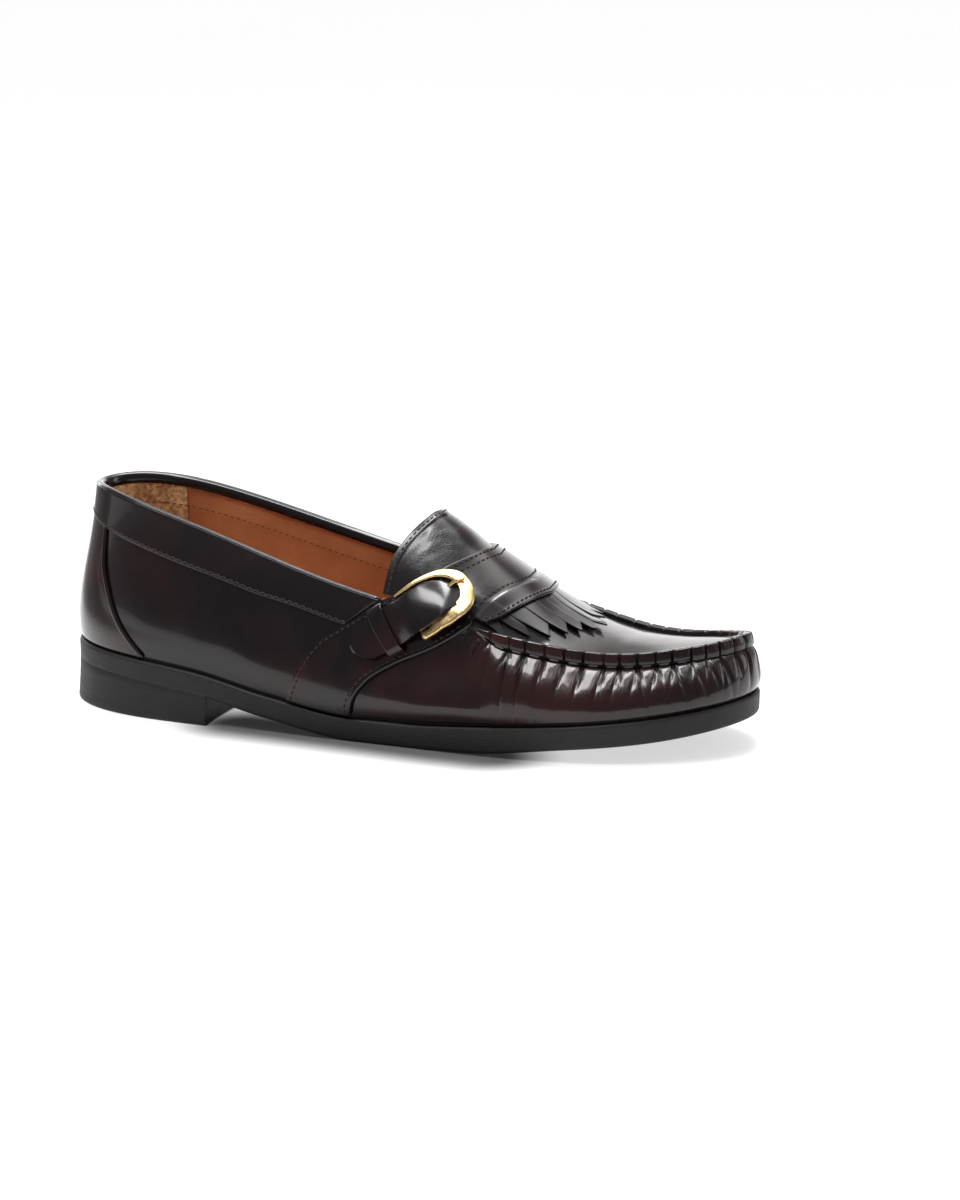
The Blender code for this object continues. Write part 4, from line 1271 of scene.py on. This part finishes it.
def tongue_place(s, t):
    x, y = tongue_at(1 - s, t)
    rear, _ = tongue_at(1 - s, 0.0)
    z = arch(x, y) + TONGUE_HEM * (1 - ramp(x - rear, 2.9, 3.5))
    for at_x, at_y, angle, long, wide, deep in TONGUE_CREASES:
        run = (x - at_x) * math.cos(angle) + (y - at_y) * math.sin(angle)
        off = (y - at_y) * math.cos(angle) - (x - at_x) * math.sin(angle)
        z = z - deep * np.exp(-(off / wide) ** 2 - (run / long) ** 2)
    return np.stack([x, y, z], -1)


def tongue_burnish_and_shade(p):
    # A darker, matte patch on the tongue's lateral side, where the side box would shine: painted shade.
    painted_shade_patch = ramp(p[:, 0], 157.5, 164.0) * (1 - ramp(p[:, 1], -12.0, -4.0))
    return 0.55 - 0.2 * ramp(p[:, 2], 70.0, 84.0) + 0.78 * painted_shade_patch


soft_leather = burnished_leather("creased oxblood leather", 0.0, 2.4, 0.2, (0.020, -0.0194, 0.073))
panel("tongue_flap", 110, 60, tongue_place, tongue_burnish_and_shade, 2.0, 0.5, soft_leather, "tongue")
x, y = tongue_at(line, 0.0, 1.9)
stitch("tongue_stitches", lambda out: np.stack([x, y, arch(x, y) + out], -1), TONGUE_HEM, 1.9, 0.7, 0.36,
       black_thread)

# Saddle: a wide band of leather over the instep, lasted under with the upper at both ends. Its rear edge is
# sewn down, and its front edge is folded over and sewn.
SADDLE_COLUMNS = ("q", "rear", "front")
SADDLE = (
    (0.02, 110.5, 138.6),
    (0.14, 113.2, 140.2),
    (0.32, 116.8, 146.0),
    (0.50, 122.3, 156.5),
    (0.72, 134.0, 172.5),
    (0.88, 144.5, 181.5),
    (1.02, 152.5, 187.0),
    (1.25, 166.5, 190.5),
    (1.50, 174.5, 194.5),
    (1.75, 179.0, 198.0),
    (2.00, 181.0, 199.5),
)
SADDLE_FACE = 1.6
HOOP_SPREAD = 0.22
HOOP_WEIGHTS = ((-1.0, 0.14), (-0.5, 0.22), (0.0, 0.28), (0.5, 0.22), (1.0, 0.14))


def bare_hoop(x, q):
    """Point on a hoop over the shoe: q 0 to 1 up the lateral side, to 3 over, to 4 down the medial side."""
    x, q = np.broadcast_arrays(np.asarray(x, float), np.asarray(q, float))
    lat_y, _, lat_u = rail_side(x, True)
    med_y, _, med_u = rail_side(x, False)
    y = (lat_y + med_y) / 2 + (np.clip(q, 1, 3) - 2) * (med_y - lat_y) / 2
    over = np.stack([x, y, arch(x, y)], -1)
    lateral = wall(lat_u, np.clip(q, 0, 1))
    medial = wall(med_u, np.clip(4 - q, 0, 1))
    side = np.where((q < 2)[..., None], lateral, medial)
    return np.where(((q > 1) & (q < 3))[..., None], over, side)


def mirrored(q):
    """The lateral table serves both sides of the crest."""
    return np.where(q > 2, 4 - q, q)


def hoop(x, q):
    """Hoop of the leather laid over the others, eased where it bends over the rail."""
    m = mirrored(q)
    spread = HOOP_SPREAD * hump(m, 0.35, 0.8, 1.5, 1.9) * (1 - ramp(x, 184.0, 196.0))
    return sum(w * bare_hoop(x, q + k * spread) for k, w in HOOP_WEIGHTS)


def above(x, q, out):
    """Point at a height off the hoop's own surface."""
    along = hoop(x + 0.8, q) - hoop(x - 0.8, q)
    across = hoop(x, q + 0.02) - hoop(x, q - 0.02)
    return hoop(x, q) - unit(np.cross(across, along)) * np.asarray(out)[..., None]


def saddle_at(s, q, inset=0.0):
    """Plan x of the saddle, s 0 at its rear edge and 1 at its front edge."""
    rear, front = [follow(mirrored(q), SADDLE, SADDLE_COLUMNS, "q", edge) for edge in ("rear", "front")]
    return rear + inset + (front - rear - 2 * inset) * s


def saddle_place(s, t):
    q = 0.02 + 3.96 * t
    return above(saddle_at(s, q), q, SADDLE_FACE)


def painted_shade_by_buckle(p):
    """Darker, matte lateral corner of saddle and fringe in front of the buckle: painted shade."""
    return 0.95 * ramp(p[:, 0], 178.0, 186.0) * (1 - ramp(p[:, 1], -30.0, -21.0))


# Burnishing of the saddle, darker towards its top, with the painted groove shade at the sole and the painted
# shade by the buckle.
def saddle_burnish_and_shade(p):
    return -0.1 + 0.6 * ramp(p[:, 2], 32.0, 55.0) + painted_groove_shade(p) + painted_shade_by_buckle(p)


satin_leather = burnished_leather("satin oxblood leather", 0.0, 1.6, 0.11)
panel("saddle_band", 30, 230, saddle_place, saddle_burnish_and_shade, 1.25, 0.45, satin_leather, "saddle")
for name, edge, inset, first, last in (
        ("rear_lateral", 0.0, 1.9, 0.03, 1.02),
        ("rear_medial", 0.0, 1.9, 3.97, 2.98),
        ("rear_top", 0.0, 1.5, 1.06, 2.94),
        ("rear_second", 0.0, 4.3, 1.12, 2.88),
        ("front_top", 1.0, 1.9, 1.04, 2.96),
        ("front_lateral", 1.0, 2.2, 0.03, 0.98),
        ("front_medial", 1.0, 2.2, 3.97, 3.02),
):
    q = np.linspace(first, last, 400)
    x = saddle_at(edge, q, inset)
    stitch("saddle_stitches_" + name, lambda out: above(x, q, out), SADDLE_FACE, 1.9, 0.7, 0.42, black_thread)
for side, first, last in (("lateral", 0.02, 1.06), ("medial", 3.98, 2.94)):
    q = np.linspace(first, last, 160)
    x = saddle_at(1.0, q, 0.3)
    corded("saddle_fold_" + side, lambda out: above(x, q, out), 0.9, 1.0)

# Kiltie: a narrow stitched band in front of the saddle and its fringe, both of the same leather. The strips
# are cut aslant, lapped and fanned.
FRINGE_COLUMNS = ("q", "band", "tip", "lift")
FRINGE = (
    (1.10, 193.0, 201.5, 0.0),
    (1.20, 196.8, 210.2, 0.0),
    (1.30, 199.2, 216.8, 0.1),
    (1.48, 202.4, 221.3, 0.2),
    (1.66, 204.6, 224.8, 0.4),
    (1.84, 206.0, 228.3, 0.9),
    (2.00, 206.8, 230.6, 1.8),
)
FRINGE_POINT = 3.6
FRINGE_FAN = 0.055
BAND_TOP = 2.3
BAND_LAP = 2.5
STRIP_LAP = 4.0
STRIP_FACE = 1.10
STRIP_RISE = 0.45


def fringe(q, wanted):
    return follow(mirrored(q), FRINGE, FRINGE_COLUMNS, "q", wanted)


def kiltie_band_place(s, t):
    q = 1.08 + 1.84 * t
    start = saddle_at(1.0, q) - BAND_LAP
    x = start + (fringe(q, "band") - start) * s
    return above(x, q, BAND_TOP - 1.3 * (1 - ramp(s, 0.0, 0.35)) + 0.35 * ramp(s, 0.72, 0.97))


strips = []
half = column(FRINGE, FRINGE_COLUMNS, "q")
split = np.concatenate([half, 4 - half[-2::-1]])
for i in range(len(split) - 1):
    q_edge, q_crest = (split[i], split[i + 1]) if i < len(half) else (split[i + 1], split[i])

    def strip_place(s, t):
        """Lapped strip: its outer edge long and raised, its inner edge shorter and tucked under the next."""
        inner = t if i < len(half) else 1 - t
        fan = FRINGE_FAN * s * s * (-1 if i < len(half) else 1)
        q = q_edge + (q_crest - q_edge) * inner * (1.0 + 0.12 * s) + fan
        root = fringe(q, "band") - STRIP_LAP
        tip = fringe(np.full_like(q, q_edge), "tip") - FRINGE_POINT * inner
        lift = fringe(q, "lift") * s * s * (1 + 0.25 * math.sin(2.1 * i + 0.5))
        return above(root + (tip - root) * s, q, STRIP_FACE + lift + STRIP_RISE * s * (1 - inner))
    strips.append(sheet(blank("strip", 18, 8, strip_place), 0.85, 0.2))
kiltie = sheet(blank("kiltie_fringe", 14, 120, kiltie_band_place), 1.2, 0.45)
# The fringe and band take the painted shade by the buckle at their lateral corner.
for piece in (*strips, kiltie):
    tint(piece, lambda p: 0.5 + painted_shade_by_buckle(p))
fix(join(kiltie, *strips), satin_leather, "polished_leather", "kiltie")
q = np.linspace(1.10, 2.90, 400)
x = fringe(q, "band") - 1.7
stitch("kiltie_stitches", lambda out: above(x, q, out), BAND_TOP + 0.3, 1.9, 0.7, 0.36, black_thread)

# Strap: a domed leather tab from under the crown of the buckle down the saddle, its round end stitched. The
# keeper holds it, and the frame of the buckle lies over its edges.
STRAP_X = 184.0
STRAP_Q = 1.27
STRAP_ANGLE = 38.5
HOOP_STEP = 48.0
STRAP_HALF = 7.4
STRAP_LENGTH = 55.5
STRAP_THICKNESS = 1.7
STRAP_NARROWING = 1.8
STRAP_SWELL = (2.5, 7.5)
STRAP_SINK = (26.0, 36.0)
STRAP_DOME = 0.75
STRAP_TILT = 2.0
TAB_START = 44.5
STRAP_COLUMNS = ("along", "low")
STRAP = (
    (0.0, 1.9),
    (6.0, 1.9),
    (14.0, 3.4),
    (24.0, 3.4),
    (36.0, 2.0),
    (STRAP_LENGTH, 1.9),
)


def on_saddle(along, across, out):
    """Point over the lateral saddle in the plan of the strap: along from the crown, across to the rear."""
    turn = np.radians(STRAP_ANGLE)
    x = STRAP_X - along * np.cos(turn) - across * np.sin(turn)
    q = STRAP_Q + (across * np.cos(turn) - along * np.sin(turn)) / HOOP_STEP
    return above(x, q, out)


def strap_at(s, across, inset=0.0):
    along = STRAP_LENGTH * (1 - (1 - s) ** 1.6)
    past = np.clip((along - STRAP_LENGTH + STRAP_HALF) / STRAP_HALF, 0, 1)
    half = STRAP_HALF - STRAP_NARROWING * (1 - ramp(along, 8.0, 20.0))
    half = half * np.sqrt(np.clip(1 - past ** 2, 0, 1)) - inset
    low = follow(along, STRAP, STRAP_COLUMNS, "along", "low")
    swell = ramp(along, *STRAP_SWELL) - 0.85 * ramp(along, *STRAP_SINK)
    dome = STRAP_DOME * swell * np.clip(1 - across ** 2, 0, 1)
    tilt = STRAP_TILT * hump(along, *STRAP_SWELL, *STRAP_SINK)
    return along, across * half, low + STRAP_THICKNESS + dome - tilt * across


def strap_place(s, t):
    return on_saddle(*strap_at(s, 2 * t - 1))


def strap_burnish_and_shade(p):
    # Burnishing of the strap; its end under the buckle's crown is darker and matte, painted shade.
    return 0.35 + 1.1 * ramp(p[:, 0], 172.0, 178.5)


strap_leather = burnished_leather("glossy strap leather", 0.0, 1.6, 0.13)
panel("strap_tab", 90, 26, strap_place, strap_burnish_and_shade, STRAP_THICKNESS, 0.45, strap_leather, "strap")
tab_s = np.linspace(0.50, 0.985, 120)
tab = np.stack(strap_at(np.concatenate([tab_s, tab_s[::-1]]), np.repeat([1.0, -1.0], len(tab_s)), 1.4))
along, across, out = tab[:, tab[0] > TAB_START]
stitch("strap_stitches", lambda lift: on_saddle(along, across, out + lift), 0.0, 1.7, 0.6, 0.24, black_thread)

# Keeper: a loop of leather round the strap, folded from a narrow strip. Its ends go through the saddle and are
# caught under it.
KEEPER_START = 36.5
KEEPER_END = 43.5
KEEPER_COLUMNS = ("across", "high")
KEEPER = (
    (-9.3, 1.7),
    (-9.35, 3.2),
    (-9.0, 4.6),
    (-7.8, 5.4),
    (0.0, 5.9),
    (7.8, 5.4),
    (9.0, 4.6),
    (9.35, 3.2),
    (9.3, 1.7),
)


def keeper_place(s, t):
    return on_saddle(KEEPER_START + (KEEPER_END - KEEPER_START) * s, *profile(t, KEEPER, KEEPER_COLUMNS))


panel("keeper_loop", 12, 48, keeper_place, 0.45, 1.0, 0.35, oxblood, "keeper")

# Buckle: a horseshoe frame cast in brass, gilt and polished, its crown to the front and its arms along the
# strap. A short prong of the same metal rests on the crown.
BUCKLE_COLUMNS = ("along", "across", "bar", "low", "high")
BUCKLE = (
    (31.0, 9.3, 0.45, 2.4, 3.2),
    (24.0, 9.4, 0.85, 2.4, 3.9),
    (15.0, 9.2, 1.25, 2.5, 4.5),
    (8.0, 8.0, 1.9, 3.0, 5.4),
    (3.6, 5.2, 2.5, 4.0, 6.4),
    (2.1, 0.0, 2.9, 4.3, 6.7),
    (3.6, -4.9, 3.1, 4.5, 6.9),
    (8.0, -7.2, 3.3, 5.0, 7.5),
    (15.0, -8.2, 2.9, 5.2, 7.6),
    (26.0, -8.9, 2.4, 4.6, 6.7),
)
PRONG = (
    (10.5, 3.4, 0.7, 3.0, 4.4),
    (7.5, 3.4, 0.8, 4.6, 6.1),
    (5.0, 3.4, 0.9, 6.7, 8.2),
    (1.6, 3.4, 0.8, 6.9, 8.3),
)
FRAME_UP = np.array([-0.02, -0.753, 0.658])
ARM_LEAN = np.array([0.36, 0.05, 0.20])
CROWN_LEAN = 0.40
BAR_EASE = 3.2
BAR_STEPS = 1200
crown, rear = on_saddle(np.array([0.0, 10.0]), np.zeros(2), np.zeros(2))
CROWN_OUT = (crown - rear) / np.linalg.norm(crown - rear)
gilt, shader, place = material("gilt brass")
feed(shader, {
    "Base Color": place.noise(90.0).mix((0.74, 0.50, 0.20), (0.88, 0.66, 0.33)),
    "Metallic": 1.0,
    "Roughness": place.noise(600.0, 3.0) * 0.10 + 0.23,
})


def bar(name, rows, steps, around_bar, node):
    """Metal bar along a path over the saddle: flat below, crowned above, with closed rounded ends."""
    path = np.stack([column(rows, BUCKLE_COLUMNS, n) for n in BUCKLE_COLUMNS], 1)
    run = np.concatenate(([0], np.cumsum(np.hypot(*np.diff(path[:, :2], axis=0).T))))
    dense = np.linspace(0, run[-1], BAR_STEPS + 1)
    eased = np.stack([smooth(dense, run, values) for values in path.T], 1)
    window = np.hanning(2 * int(BAR_STEPS * BAR_EASE / run[-1]) + 1)
    reach = len(window) // 2
    head, tail = 2 * eased[0] - eased[reach:0:-1], 2 * eased[-1] - eased[-2:-reach - 2:-1]
    padded = np.concatenate([head, eased, tail])
    eased = [np.convolve(values, window / window.sum(), "valid") for values in padded.T]

    def place(s, t):
        at = s * run[-1]
        a, b, wide, low, high = [np.interp(at, dense, values) for values in eased]
        da, db = [np.interp(at + 0.3, dense, v) - np.interp(at - 0.3, dense, v) for v in eased[:2]]
        end = np.clip(np.minimum(at, run[-1] - at) / (0.7 * wide), 0, 1)
        small = np.sqrt(np.clip(1 - (1 - end) ** 2, 0, 1))
        c, d = np.cos(2 * np.pi * t), np.sin(2 * np.pi * t)
        flat = np.sign(c) * np.abs(c) ** 0.5 * wide * small
        tall = np.sign(d) * np.abs(d) ** 0.5 * (high - low) / 2 * small
        spine = on_saddle(a, b, (low + high) / 2)
        ahead = on_saddle(a + da, b + db, (low + high) / 2) - spine
        up = FRAME_UP + CROWN_LEAN * (1 - ramp(a, 2.5, 9.0))[:, None] * CROWN_OUT
        up = unit(up + ramp(-b, 5.0, 8.0)[:, None] * ARM_LEAN)
        return spine + unit(np.cross(up, ahead)) * flat[:, None] + up * tall[:, None]
    fix(tidy(blank(name, steps, around_bar, place)), gilt, "gilt_metal", node)


bar("buckle_frame", BUCKLE, 150, 24, "buckle")
bar("buckle_prong", PRONG, 30, 16, "prong")
